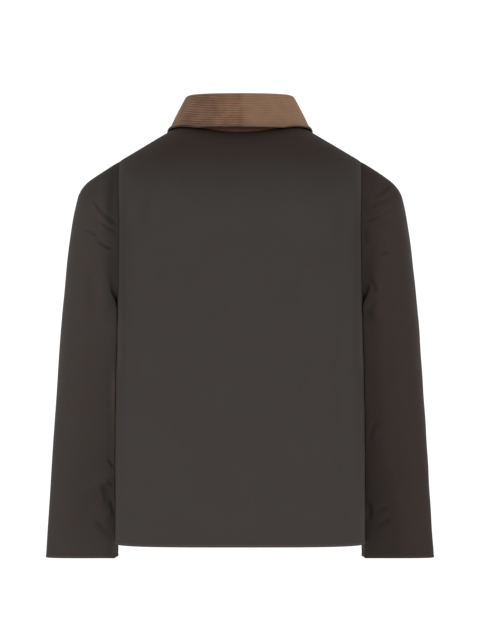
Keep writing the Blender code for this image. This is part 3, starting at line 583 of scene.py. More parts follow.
def form(turn, climb, half):
    """A point of the form. climb runs from -1 at the hem to 0 at ARCH_LEVEL by height, and on to 1
    at the ridge by angle, along a quarter of a rounded arch whose foot is the section below."""
    across, deep = section(turn)
    level = ARCH_LEVEL + np.minimum(climb, 0.0) * (ARCH_LEVEL - HEM_LEVEL)
    angle = np.clip(climb, 0.0, 1.0) * math.pi / 2
    x = body_size("half_width", level) * across
    depth = body_size(half, level) * deep * np.cos(angle) ** (2 / ARCH_POWER)
    z = level + np.sin(angle) ** (2 / ARCH_POWER) * (ridge(x) - ARCH_LEVEL)
    return np.stack([x, depth if half == "back" else -depth, z], axis=-1)


def climb_of(x, z):
    """The climb of a point of the form, by the same arch."""
    above = np.arcsin(np.clip(risen(x, z), 0, 1) ** (ARCH_POWER / 2)) * 2 / math.pi
    return np.where(z > ARCH_LEVEL, above, (z - ARCH_LEVEL) / (ARCH_LEVEL - HEM_LEVEL))


def form_frame(turn, climb, half):
    """Points of the form with their outward normals and the direction in which climb grows."""
    step = 1e-3
    low, high = np.maximum(turn - step, -1), np.minimum(turn + step, 1)
    along_turn = form(high, climb, half) - form(low, climb, half)
    low, high = np.maximum(climb - step, -1), np.minimum(climb + step, 1)
    along_climb = form(turn, high, half) - form(turn, low, half)
    normals = unit(np.cross(along_turn, along_climb)) * (-1 if half == "back" else 1)
    return form(turn, climb, half), normals, unit(along_climb)


def outside(points):
    """How far points lie outside the form, and the way out: the form's equation over its slope."""

    def value(p):
        x, y, z = p[..., 0], p[..., 1], p[..., 2]
        level = np.minimum(z, ARCH_LEVEL)
        deep = section_depth(np.clip(np.abs(x) / body_size("half_width", level), 0, 0.999))
        reach = np.abs(y) / (body_depth(y, level) * deep)
        return (reach**ARCH_POWER + risen(x, z) ** ARCH_POWER) ** (1 / ARCH_POWER) - 1

    step = 1e-5
    slope = [(value(points + e) - value(points - e)) / (2 * step) for e in np.eye(3) * step]
    slope = np.stack(slope, axis=-1)
    size = np.linalg.norm(slope, axis=-1)
    return value(points) / size, slope / size[..., None]


def armhole(half, angle):
    """Turn and climb of the armhole of one half at angles from 0 at the shoulder point to pi at the
    armpit. Seen from the side it is half of a rounded oval; x is found by halving its range."""
    along, across = rounded(angle, ARMHOLE_POWER["top"], ARMHOLE_POWER["low"])
    reach = (SHOULDER_POINT_LEVEL - ARMPIT_LEVEL) / 2
    z = (SHOULDER_POINT_LEVEL + ARMPIT_LEVEL) / 2 + reach * along
    y = ARMHOLE_DEPTH[half] * np.maximum(across, 0)
    level = np.minimum(z, ARCH_LEVEL)
    width, depth = body_size("half_width", level), body_size(half, level)
    low, high = np.zeros_like(z), width
    for _ in range(ARMHOLE_HALVINGS):
        x = (low + high) / 2
        reached = y / (depth * np.maximum(section_depth(x / width), 1e-9))
        too_far = reached**ARCH_POWER + risen(x, z) ** ARCH_POWER > 1
        low, high = np.where(too_far, low, x), np.where(too_far, x, high)
    climb = np.where(angle <= 0, 1.0, climb_of(x, z))
    return np.where(angle >= math.pi, 1.0, turn_at(x, width)), climb


def neck_climb(turn, half):
    """The climb at which a column of cloth reaches the neck seam, or 1 where it ends on the ridge."""
    across, deep = section(turn)
    share = np.abs(across) * BODY["half_width"][-1] / NECK_HALF_WIDTH
    y = NECK_DEPTH[half] * np.sqrt(np.clip(1 - share**2, 0, 1))
    cosine = np.clip(y / (BODY[half][-1] * deep), 0, 1) ** (ARCH_POWER / 2)
    return np.arccos(cosine) * 2 / math.pi


def neck_turn(x):
    """The turn of a place x across the neck or shoulder."""
    return turn_at(x, BODY["half_width"][-1])


# ---- Walls of cloth


def flat_lengths(points):
    """Lengths across and along a grid of points, from its middle column and its first row."""
    across = np.linalg.norm(np.diff(points, axis=1), axis=2)
    along = np.linalg.norm(np.diff(points, axis=0), axis=2)
    u = np.pad(np.cumsum(across, axis=1), ((0, 0), (1, 0)))
    v = np.pad(np.cumsum(along, axis=0), ((1, 0), (0, 0)))
    return np.stack([u - u[:, points.shape[1] // 2, None], v], axis=-1)


def edge_distance(points, *sides):
    """Distance in the cloth to the nearest of the named borders of a grid."""
    run = flat_lengths(points)
    u, v = run[..., 0], run[..., 1]
    away = {
        "first_row": v,
        "last_row": v[-1:] - v,
        "first_column": u - u[:, :1],
        "last_column": u[:, -1:] - u,
    }
    return np.min([away[side] for side in sides], axis=0)


def weld(points, faces):
    """Merges points that coincide. Gives the first of each, where each point went, and the faces
    that keep four or three corners, as the places of their corners in faces."""
    keys = np.round(points * 1e7).astype(np.int64)
    _, first, place = np.unique(keys, axis=0, return_index=True, return_inverse=True)
    place = place.reshape(-1)
    merged = place[faces]
    same = merged == np.roll(merged, -1, axis=1)
    kinds = [(np.flatnonzero(~same.any(axis=1)), [0, 1, 2, 3])]
    for corner in range(4):
        single = same[:, corner] & (same.sum(axis=1) == 1)
        kinds.append((np.flatnonzero(single), [c for c in range(4) if c != corner]))
    return first, place, kinds


def way_out(border, normals, inside):
    """The way out of the cloth at each point of a closed border whose last point repeats its first:
    normal x tangent, on the side that faces away from a place inside it."""
    ring = border[:-1]
    tangent = unit(np.roll(ring, -1, axis=0) - ring) + unit(ring - np.roll(ring, 1, axis=0))
    tangent = np.concatenate([tangent, tangent[:1]])
    way = unit(np.cross(normals, tangent))
    return way * np.sign(np.sum(way * (border - inside)))


def wall_mesh(name, outer, inner, marks, closed=False, inset=True, flat=None):
    """A closed wall between two grids of points with rounded rims. The rim at an edge is middle +
    half thickness x (cos a x normal + sin a x way out) x the reach of a ring of RIM_POWER, a from 0
    to pi. A closed grid's last column repeats its first and gets no side rims. marks are values for
    each grid point, and flat is its place in the cut cloth, or None to measure it along the grid."""
    rows, columns, _ = outer.shape
    count = rows * columns
    index = np.arange(count).reshape(rows, columns)
    out = np.cross(np.gradient(outer, axis=1), np.gradient(outer, axis=0)).reshape(-1, 3)
    inside = outer[rows // 2].mean(axis=0) if closed else outer[rows // 2, columns // 2]
    sides = [index[0], index[1:, -1], index[-1, -2::-1], index[-2::-1, 0]]
    loops = [index[0], index[-1][::-1]] if closed else [np.concatenate(sides)]
    uv = (flat_lengths(outer) if flat is None else flat).reshape(-1, 2)
    outer, inner = outer.reshape(-1, 3).copy(), inner.reshape(-1, 3).copy()
    quads = [index[:-1, :-1], index[:-1, 1:], index[1:, 1:], index[1:, :-1]]
    quads = np.stack(quads, axis=-1).reshape(-1, 4)
    faces = [quads, quads[:, ::-1] + count]
    slots = [np.zeros(len(quads), int), np.ones(len(quads), int)]
    points, sources = [outer, inner], [np.arange(count), np.arange(count)]
    total = 2 * count
    for loop in loops:
        apart = np.linalg.norm(np.diff(outer[loop], axis=0), axis=1)
        loop = loop[np.concatenate([[True], apart > 1e-6])]
        across = outer[loop] - inner[loop]
        normal = unit(across)
        half = np.linalg.norm(across, axis=1, keepdims=True) / 2
        way = way_out(outer[loop], normal, inside)
        if inset:
            for side in (outer, inner):
                side[loop[:-1]] -= (way * half * RIM_INSET)[:-1]
                side[loop[-1]] = side[loop[0]]
        middle = (outer[loop] + inner[loop]) / 2
        rings = [loop]
        for angle in np.linspace(0.0, math.pi, RIM_STEPS + 2)[1:-1]:
            up, aside = rounded(angle, RIM_POWER, RIM_POWER)
            points.append(middle + half * (up * normal + aside * way))
            sources.append(loop)
            rings.append(total + np.arange(len(loop)))
            total += len(loop)
        rings.append(loop + count)
        for near, far in zip(rings, rings[1:]):
            faces.append(np.stack([near[1:], near[:-1], far[:-1], far[1:]], axis=-1))
            slots.append(np.zeros(len(loop) - 1, int))
    points, sources = np.concatenate(points), np.concatenate(sources)
    faces, slots = np.concatenate(faces), np.concatenate(slots)
    if np.sum(out * (outer - inner)) < 0:
        faces = faces[:, ::-1]
    first, place, parts = weld(points, faces)
    corners = [faces[which][:, keep] for which, keep in parts]
    mesh = bpy.data.meshes.new(name)
    listed = [face for part in corners for face in place[part].tolist()]
    mesh.from_pydata(points[first].tolist(), [], listed)
    corners = np.concatenate([part.reshape(-1) for part in corners])
    layer = mesh.uv_layers.new(name="cloth")
    layer.data.foreach_set("uv", uv[sources[corners]].astype(np.float32).reshape(-1))
    slots = np.concatenate([slots[which] for which, _ in parts])
    mesh.polygons.foreach_set("material_index", slots.astype(np.int32))
    for mark, values in marks.items():
        attribute = mesh.attributes.new(mark, "FLOAT", "POINT")
        values = values.reshape(-1)[sources[first]]
        attribute.data.foreach_set("value", values.astype(np.float32))
    mesh.shade_smooth()
    return mesh


def add_piece(name, mesh, materials, node=None):
    """Puts a finished mesh in the scene as a piece that rides on the jacket's one body."""
    piece = bpy.data.objects.new(name, mesh)
    for material in materials:
        mesh.materials.append(material)
    bpy.context.collection.objects.link(piece)
    if node:
        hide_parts(node)
    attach(piece, "root")


def add_cotton(node, faces, marks, cloth_colour="cotton", **wall):
    """Adds a wall of waxed cotton between two faces, in place of the solid of that name."""
    mesh = wall_mesh(f"{node}_cloth", *faces, marks, **wall)
    add_piece(f"{node}_cloth", mesh, cotton_pair(cloth_colour), node)


# ---- Relief and marks of the cloth


def cloth_faces(points, normals, bends, detail):
    """The two faces of a wall of cotton. Both follow its bends, and the outer one its detail too."""
    outer = points + normals * (bends + detail)[..., None]
    return outer, points + normals * (bends - CLOTH)[..., None]


def cotton_marks(wear, creases, shade):
    """What the waxed cotton reads at each point: wear with painted light on the sides, depth in a
    crease from -1 to 1, which also paints shade in troughs and highlight on ridges, and painted shade.
    """
    return {"wear": wear, "crease": np.clip(creases / CREASE_DEPTH, -1, 1), "shade": shade}


def crease_swell(points, creases):
    """Swell of the cloth from creases. Across a crease of width w, s widths away from its middle
    line, it is -exp(-s^2) and, for each of CREASE_RIDGES, height x exp(-((s - place) / spread)^2),
    all times its depth. That line bows to one side and the other in turn, by CREASE_BEND of its
    length, and the swell fades over CREASE_FADE of it to nothing at CREASE_END of it past each end."""
    x, z = points[..., 0], points[..., 2]
    total = np.zeros_like(x)
    for i, (x0, z0, x1, z1, width, depth) in enumerate(zip(*creases.values())):
        length = math.hypot(x1 - x0, z1 - z0)
        way_x, way_z = (x1 - x0) / length, (z1 - z0) / length
        along = ((x - x0) * way_x + (z - z0) * way_z) / length
        bend = CREASE_BEND * length * np.sin(math.pi * np.clip(along, 0, 1)) * (-1) ** i
        s = ((x - x0) * way_z - (z - z0) * way_x + bend) / width
        ends = smooth_step((along + CREASE_END) / CREASE_FADE)
        ends = ends * smooth_step((1 + CREASE_END - along) / CREASE_FADE)
        shape = -bell(s)
        for height, place, spread in CREASE_RIDGES:
            shape = shape + height * bell((s - place) / spread)
        total += depth * ends * shape
    return total


def fold_swell(folds, around, levels):
    """Swell of a sleeve from its folds: each is a soft ridge, long one way and narrow the other."""
    total = np.zeros_like(levels)
    for angle, level, length, width, slant, height in zip(*folds.values()):
        run = np.radians((around - angle + 180) % 360 - 180) * SLEEVE["half_depth"][0]
        rise = levels - level - slant * run
        total += height * np.exp(-((run / length) ** 2 + (rise / width) ** 2))
    return total


def undulation(points, piece, distance):
    """Slow unevenness of a piece of worn cloth: a sum of sine waves, with lengths between
    WAVE_LENGTHS, in directions and phases drawn from its seed. It fades over WAVE_FADE towards the
    edges, by the distance from them."""
    draw = np.random.default_rng(SEEDS[piece])
    total = np.zeros(points.shape[:-1])
    for _ in range(WAVE_COUNT):
        way = unit(draw.normal(size=3) * WAVE_WAYS)
        wave = 2 * math.pi / draw.uniform(*WAVE_LENGTHS)
        total += np.sin(points @ way * wave + draw.uniform(0, 2 * math.pi))
    height = bpy.context.scene.jacket_sizes.unevenness
    return total * height / WAVE_SUM * smooth_step(distance / WAVE_FADE)


def facing(normals, gain):
    """How far the cloth is turned to the back, or for a gain below 0 to the front: gain x the
    normal's y, between 0 and 1 with level ends."""
    return smooth_step(normals[..., 1] * gain)


def seam_roll(distance, depth=0.0007, width=0.0035):
    """How far the cloth sinks towards a seam: depth x exp(-(distance / width)^2)."""
    return -depth * bell(distance / width)


def hem_groove(distance):
    """A turned hem: a narrow groove under its stitches and a slight pillow out to the edge."""
    return sum(height * bell((distance - place) / width) for height, place, width in HEM_RELIEF)


def stitch_row(distance):
    """The row or column of a grid that lies under the hem's stitches."""
    return int(np.argmin(np.abs(distance - HEM_STITCH_PLACE)))


def body_shade(points):
    """How much painted shade darkens the body's cloth: 0.5, less below BODY_SHADE_LEVELS' top and
    none under their lower level, and up to 0.5 more within 40 mm of the shoulder seam."""
    low, high = BODY_SHADE_LEVELS
    shoulder = bell(edge_distance(points, "last_row") / SHADE_WIDTH)
    return 0.5 * smooth_step((points[..., 2] - low) / (high - low)) + 0.5 * shoulder


def sleeve_shade(points, shades):
    """How much a sleeve's cloth is darkened beside the body: the table's strength at this height, out
    to its reach, fading over SHADE_WIDTH."""
    reach, strength = (np.interp(-points[..., 2], -shades["z"], shades[n]) for n in ("reach", "strength"))
    return strength * smooth_step((reach - points[..., 0]) / SHADE_WIDTH)


# ---- Grids of the pieces


def spread(top_turns, first, last):
    """Turns of the columns along a row that ends at first and last. Each moves from its place in
    the top row by a share of its ends' moves, which fades on the way to the centre line."""
    start, end = top_turns[0], top_turns[-1]
    near_start = np.clip(top_turns / start, 0, 1) ** EDGE_FADE
    near_end = np.clip(top_turns / end, 0, 1) ** EDGE_FADE
    return top_turns + near_start * (first - start) + near_end * (last - end)


def armhole_angles():
    """Angles round the armhole of one half, closer together towards the shoulder seam."""
    near = np.arcsin(np.array(EDGE_PLACES) / ARMHOLE_DEPTH["back"])
    even = np.linspace(0.0, math.pi, ARMHOLE_POINTS)
    return np.unique(np.concatenate([near, even[even > near[-1] * ARMHOLE_EDGE_SPACE], [0.0]]))


def body_grid(half, top_turns, inner_turn, top_climbs):
    """Turns and climbs of a body piece, rows from the hem to the shoulder, and its flat cut as
    lengths across and up. inner_turn is the turn of its front edge, or None where it runs to the
    other side seam. Rows follow the side and the armhole at the edge and lag behind at the centre.
    Below ARCH_LEVEL a climb is raised by HEM_RISE x (climb x turn)^4, which lifts the hem's sides."""
    edge, climb = armhole(half, armhole_angles()[::-1])
    levels = places_along(ARMPIT_LEVEL - HEM_LEVEL, GRID, HEM_PLACES)[:-1] + HEM_LEVEL
    side = (levels - ARCH_LEVEL) / (ARCH_LEVEL - HEM_LEVEL)
    edge = np.concatenate([np.ones(len(side)), edge])
    climb = np.concatenate([side, climb])
    run = run_along(np.linalg.norm(np.diff(form(edge, climb, half), axis=0), axis=1))
    start = BEND_LEVEL - HEM_LEVEL
    share = (run - start) / (run[-1] - start)
    share_up = share * (BEND_START + (1 - BEND_START) * share)
    rise = (BEND_LEVEL - ARCH_LEVEL) * (1 - share_up) + ARCH_LENGTH * share_up
    even = np.where(rise < 0, rise / (ARCH_LEVEL - HEM_LEVEL), rise / ARCH_LENGTH)
    even = np.where(share < 0, climb, even)
    inner = -edge if inner_turn is None else np.full_like(edge, inner_turn)
    turn = np.stack([spread(top_turns, *ends) for ends in zip(inner, edge)])
    bend = np.abs(top_turns / top_turns[-1]) ** BEND_FADE
    climb = even[:, None] + (climb - even)[:, None] * bend[None, :]
    low = climb + HEM_RISE * (climb * turn) ** 4
    climb = np.where(climb > 0, climb * top_climbs[None, :], low)
    up = np.where(climb > 0, climb * ARCH_LENGTH, climb * (ARCH_LEVEL - HEM_LEVEL))
    return turn, climb, np.stack([turn * QUARTER_LENGTH, up], axis=-1)


def shoulder_turns():
    """Turns of the columns that end on the shoulder seam, from the neck point to the shoulder."""
    first = neck_turn(NECK_HALF_WIDTH)
    last = armhole("back", np.array([0.0]))[0][0]
    run = places_along((last - first) * QUARTER_LENGTH, GRID, (), EDGE_PLACES)
    return first + run / QUARTER_LENGTH


def lap_lift(x):
    """How far the upper front is raised off the form where it laps over the lower one."""
    return LAP_LIFT * smooth_step((LAP_PLACE + LAP_FADE - x) / LAP_FADE)


def armhole_ring(angle):
    """Points and normals round the armhole, at angles from 0 at the shoulder point, down the back
    to pi at the armpit, and up the front to two pi."""
    parts = []
    for half, turned in (("back", angle), ("front", 2 * math.pi - angle)):
        parts.append(form_frame(*armhole(half, np.clip(turned, 0.0, math.pi)), half)[:2])
    behind = (angle <= math.pi)[:, None]
    return [np.where(behind, back, front) for back, front in zip(*parts)]


def ring_powers(at):
    """Powers of the sleeve's rings: the armhole's, which turn into the sleeve's own on the way."""
    first, last = SQUARE_STATIONS
    grown = smooth_step((at - first) / (last - first))
    top, low = ARMHOLE_POWER["top"], ARMHOLE_POWER["low"]
    return top + (SLEEVE_POWER["outer"] - top) * grown, low + (SLEEVE_POWER["inner"] - low) * grown


def beside_body(points, at):
    """How far points of a sleeve move out along x to lie just clear of the body's side, which
    reaches half_width x (1 - (|y| / depth)^p)^(1/p). Near the armhole the sleeve is left as it is.
    At the underarm the points close beside the body are drawn towards it, which shuts the hollow."""
    x, y, z = points[..., 0], points[..., 1], points[..., 2]
    level = np.minimum(z, ARCH_LEVEL)
    side = section_depth(np.clip(np.abs(y) / body_depth(y, level), 0, 1))
    side = side * body_size("half_width", level)
    side = side + np.interp(at, SLEEVE_CLEARANCE["at"], SLEEVE_CLEARANCE["gap"])
    side = side - SLEEVE_FREEDOM * (1 - smooth_step(at / FREEDOM_STATIONS)) - np.maximum(z - ARCH_LEVEL, 0)
    moved = np.logaddexp(x / SLEEVE_SOFTNESS, side / SLEEVE_SOFTNESS) * SLEEVE_SOFTNESS
    drawn = UNDERARM_PULL * bell((z - UNDERARM_LEVEL) / UNDERARM_HEIGHT)
    drawn = drawn * smooth_step(np.abs(y) / UNDERARM_DEPTH) * smooth_step(at / UNDERARM_STATIONS)
    drawn = drawn * (1 - smooth_step((moved - side) / UNDERARM_REACH))
    return np.stack([moved - (moved - side) * drawn - x, 0 * x, 0 * x], axis=-1)


def sleeve_angles():
    """Angles round the sleeve. They lie closer together where most of its creases are: as
    1 + CREASED_GAIN x exp(-((angle - CREASED_ANGLE) / CREASED_WIDTH)^2)."""
    fine = np.linspace(0.0, 2 * math.pi, SLEEVE_ANGLE_POINTS)
    density = 1 + CREASED_GAIN * bell((fine - CREASED_ANGLE) / CREASED_WIDTH)
    run = run_along((density[1:] + density[:-1]) / 2)
    return np.interp(np.linspace(0.0, run[-1], SLEEVE_COLUMNS + 1), run, fine)


def sleeve_grid(side):
    """Outer points, normals, folds, creases and stations of a sleeve as on the wearer's left, ring
    by ring from the armhole to the cuff. A ring is rounded between the table's two points."""
    stations = np.arange(len(SLEEVE["inner_x"]), dtype=float)
    fine = np.linspace(0.0, stations[-1], SLEEVE_PATH_POINTS)
    path = np.stack([glide(stations, SLEEVE[name], fine) for name in ("outer_x", "outer_z")])
    run = run_along(np.hypot(*np.diff(path)))
    at = np.interp(places_along(run[-1], SLEEVE_GRID, EDGE_PLACES, HEM_PLACES), run, fine)
    size = {name: glide(stations, SLEEVE[name], at)[:, None] for name in SLEEVE}
    angle = sleeve_angles()
    along, across = rounded(angle[None, :], *ring_powers(at[:, None]))
    x = (size["outer_x"] + size["inner_x"]) / 2 + along * (size["outer_x"] - size["inner_x"]) / 2
    z = (size["outer_z"] + size["inner_z"]) / 2 + along * (size["outer_z"] - size["inner_z"]) / 2
    outer = np.stack([x, size["centre_y"] + across * size["half_depth"], z], axis=-1)
    seam, seam_normals = armhole_ring(angle)
    start = (1 - smooth_step(at))[:, None, None]
    outer = outer + (seam - outer[0]) * start
    outer[:, -1] = outer[:, 0]
    around = np.roll(outer[:, :-1], -1, axis=1) - np.roll(outer[:, :-1], 1, axis=1)
    around = np.concatenate([around, around[:, :1]], axis=1)
    normals = unit(np.cross(around, np.gradient(outer, axis=0)))
    out = outer - outer.mean(axis=1, keepdims=True)
    normals = normals * np.sign(np.sum(normals * out, axis=(1, 2)))[:, None, None]
    normals = unit(normals * (1 - start) + seam_normals * start)
    left = stations[-1] - at
    fade = smooth_step(at / FOLD_FADE_AT_ARMHOLE) * smooth_step(left / FOLD_FADE_AT_CUFF)
    folds = fold_swell(SLEEVE_FOLDS[side], np.degrees(angle[None, :]), outer[..., 2]) * fade[:, None]
    near = smooth_step(at / CREASE_FADE_AT_ARMHOLE) * smooth_step(left / CREASE_FADE_AT_CUFF)
    creases = np.zeros_like(folds)
    for half, sign in (("back", 1), ("front", -1)):
        turned = facing(normals, sign * SLEEVE_FACING)
        creases += crease_swell(outer, SLEEVE_CREASES[side, half]) * turned * near[:, None]
    return outer, normals, folds, creases, at[:, None]


def neck_line():
    """Points of the neck seam from the right end of the collar, round the back, to the left end,
    with the angle from the centre back and the ways out. The left end follows the raised front."""
    back_angle = np.linspace(0.0, math.pi / 2, NECK_BACK_POINTS)
    front_angle = np.linspace(math.pi / 2, COLLAR_END_ANGLE, COLLAR_FRONT_POINTS)[1:]
    back = neck_turn(NECK_HALF_WIDTH * np.sin(back_angle))
    front = neck_turn(NECK_HALF_WIDTH * np.sin(front_angle))
    back_points, _, back_onward = form_frame(back, neck_climb(back, "back"), "back")
    low_points, normals, front_onward = form_frame(front, neck_climb(front, "front"), "front")
    lifted = low_points + normals * lap_lift(low_points[:, 0])[:, None]
    onward = np.concatenate([back_onward, front_onward]) * SEAM_GAP
    left = np.concatenate([back_points, lifted]) + onward
    right = np.concatenate([back_points, low_points]) + onward
    angle = np.concatenate([back_angle, front_angle])
    depth = np.where(angle > math.pi / 2, NECK_DEPTH["front"], NECK_DEPTH["back"])
    out = unit(np.stack([depth * np.sin(angle), NECK_HALF_WIDTH * np.cos(angle), 0 * angle], axis=-1))
    points = np.concatenate([right[:0:-1] * mirror_of(-1), left])
    out = np.concatenate([out[:0:-1] * mirror_of(-1), out])
    return points, np.degrees(np.concatenate([angle[:0:-1], angle])), out


def collar_middle():
    """The surface between the two layers of the collar: up the stand, round the fold, down the
    fall. Rows run along that profile and columns round the neck. The fall is then moved out until
    it clears the body all along, and the profile is smoothed."""
    base, angle, out = neck_line()
    size = {name: glide(COLLAR["around"], COLLAR[name], angle)[:, None] for name in COLLAR}
    start_out = -(UNDER_COLLAR_CLOTH + SEAM_GAP / 2)
    crest_up = size["crest_level"] - base[:, 2:3]
    edge_up = size["edge_level"] - base[:, 2:3]
    f = np.linspace(0.0, 1.0, STAND_STEPS + 1)[None, :-1]
    stand_out = start_out + (size["crest_out"] - FOLD_RADIUS - start_out) * f
    stand_up = (crest_up - FOLD_RADIUS + SEAM_DIP) * f - SEAM_DIP
    sweep = np.linspace(math.pi, math.radians(FOLD_END_ANGLE), FOLD_STEPS + 1)[None, :]
    fold_out = size["crest_out"] + FOLD_RADIUS * np.cos(sweep)
    fold_up = crest_up - FOLD_RADIUS + FOLD_RADIUS * np.sin(sweep)
    f = np.linspace(0.0, 1.0, FALL_STEPS + 1)[None, 1:]
    bow = FALL_BOW * np.sin(math.pi * f)
    fall_out = fold_out[:, -1:] + (size["edge_out"] - fold_out[:, -1:]) * f + bow
    fall_up = fold_up[:, -1:] + (edge_up - fold_up[:, -1:]) * f
    outs = np.concatenate([stand_out, fold_out, fall_out], axis=1).T
    ups = np.concatenate([stand_up, fold_up, fall_up], axis=1).T
    middle = base[None, :, :] + outs[..., None] * out[None, :, :]
    middle[..., 2] += ups
    slide = np.zeros(len(outs))
    slide[-FALL_STEPS:] = f[0] ** FALL_SPREAD_POWER
    middle[..., 0] += slide[:, None] * (size["spread"][:, 0] * np.sign(base[:, 0]))[None, :]
    for _ in range(CLEARING_ROUNDS):
        distance, way = outside(middle)
        wanted = COLLAR_CLEARANCE + lap_lift(np.abs(middle[..., 0]))
        short = np.clip(wanted - distance, 0, None)
        short[:CLEARED_ROW] = 0
        middle = middle + way * short[..., None]
    for _ in range(SMOOTHING_ROUNDS):
        middle[1:-1] = middle[1:-1] / 2 + (middle[:-2] + middle[2:]) / 4
    return middle


def collar_grid(wale):
    """The collar's middle surface with rows along the wales: row k lies at k x wale / WALE_ROWS in
    the cloth from the crest of the fold, and stops at the neck seam and at the fall's edge. A place
    in the profile is found as the sum, over its steps, of the share of each step that is passed."""
    middle = collar_middle()
    normals = unit(np.cross(np.gradient(middle, axis=1), np.gradient(middle, axis=0)))
    if normals[-1, middle.shape[1] // 2, 1] < 0:
        normals = -normals
    steps = np.linalg.norm(np.diff(middle, axis=0), axis=2)
    run = np.pad(np.cumsum(steps, axis=0), ((1, 0), (0, 0)))
    run = run - run[CREST_ROW]
    spacing = wale / WALE_ROWS
    rows = np.arange(math.floor(run[0].min() / spacing), math.ceil(run[-1].max() / spacing) + 1)
    low, high = run[0] + UNDER_COLLAR_CLOTH / 2, run[-1] - CORDUROY / 2
    place = np.clip(rows[:, None] * spacing, low[None, :], high[None, :])
    passed = (place[:, None, :] - run[None, :-1, :]) / steps[None, :, :]
    passed = np.clip(passed, 0, 1).sum(axis=1)
    row = np.minimum(passed.astype(int), len(middle) - 2)
    share = (passed - row)[..., None]
    row = row[..., None]
    grids = []
    for grid in (middle, normals):
        before = np.take_along_axis(grid, row, axis=0)
        after = np.take_along_axis(grid, row + 1, axis=0)
        grids.append(before * (1 - share) + after * share)
    return grids[0], unit(grids[1]), place, np.minimum(place - low, high - place)


# ---- Materials


def set_inputs(tree, node, inputs):
    """Sets a node's inputs, each from a value or from a socket."""
    for name, value in inputs.items():
        if isinstance(value, bpy.types.NodeSocket):
            tree.links.new(value, node.inputs[name])
        else:
            node.inputs[name].default_value = value


def add_node(tree, kind, inputs=None, **settings):
    """Adds a shader node, with its settings and its inputs."""
    node = tree.nodes.new(f"ShaderNode{kind}")
    for name, value in settings.items():
        setattr(node, name, value)
    set_inputs(tree, node, inputs or {})
    return node


def reckon(tree, operation, *values, **settings):
    """What a Math node makes of values or sockets."""
    return add_node(tree, "Math", dict(enumerate(values)), operation=operation, **settings).outputs[0]


def sum_of(tree, *terms):
    """The sum of (socket, factor) pairs, sockets and plain numbers, as a socket."""
    terms = [reckon(tree, "MULTIPLY", *term) if isinstance(term, tuple) else term for term in terms]
    total = terms[0]
    for term in terms[1:]:
        total = reckon(tree, "ADD", total, term)
    return total


def mixed(tree, factor, first, second, blend="MIX"):
    """A colour between two colours, each an RGBA value or a socket. Where blend is MULTIPLY it lies
    between the first and their product."""
    settings = {"data_type": "RGBA", "blend_type": blend, "clamp_factor": True}
    return add_node(tree, "Mix", {0: factor, 6: first, 7: second}, **settings).outputs[2]


def ramp(tree, value, low, high):
    """Rises smoothly from 0 where the value is low to 1 where it is high."""
    inputs = {"Value": value, "From Min": low, "From Max": high}
    return add_node(tree, "MapRange", inputs, interpolation_type="SMOOTHSTEP").outputs[0]


def noise(tree, where, scale, detail=2.0, roughness=0.5):
    """Noise about zero: its value less one half."""
    inputs = {"Vector": where, "Scale": scale, "Detail": detail, "Roughness": roughness}
    return reckon(tree, "SUBTRACT", add_node(tree, "TexNoise", inputs).outputs[0], 0.5)


def stretched(tree, where, scale):
    """Coordinates scaled by a different amount along each axis."""
    return add_node(tree, "Mapping", {"Vector": where, "Scale": scale}).outputs[0]


def mark(tree, name):
    """A value kept on the mesh."""
    return add_node(tree, "Attribute", attribute_name=name).outputs["Fac"]


def weave(tree, threads, pitch):
    """Height of a plain weave: sin(pi u / pitch) x sin(pi v / pitch), for thread pitch."""
    parts = add_node(tree, "SeparateXYZ", {0: threads}).outputs
    waves = [reckon(tree, "SINE", reckon(tree, "MULTIPLY", parts[i], math.pi / pitch)) for i in (0, 1)]
    return reckon(tree, "MULTIPLY", *waves)


def tinted(colour, factors):
    """A colour times one factor, or times one each for red, green and blue, as RGBA."""
    return (*np.minimum(np.array(colour) * factors, 1.0).tolist(), 1.0)


def new_material(name):
    """A material with its node tree and the place on the object."""
    material = bpy.data.materials.new(name)
    material.use_nodes = True
    tree = material.node_tree
    return material, tree, add_node(tree, "TexCoord").outputs["Object"]


def cloth_place(tree):
    """The place in the cut cloth, across and along, in metres."""
    return add_node(tree, "UVMap", uv_map="cloth").outputs[0]


def finish(material, inputs, relief=None):
    """Sets the shader's inputs, and its bump from a relief: height, strength and distance."""
    tree = material.node_tree
    if relief:
        bump = add_node(tree, "Bump", dict(zip(("Height", "Strength", "Distance"), relief)))
        inputs = {**inputs, "Normal": bump.outputs[0]}
    set_inputs(tree, tree.nodes["Principled BSDF"], inputs)
    return material


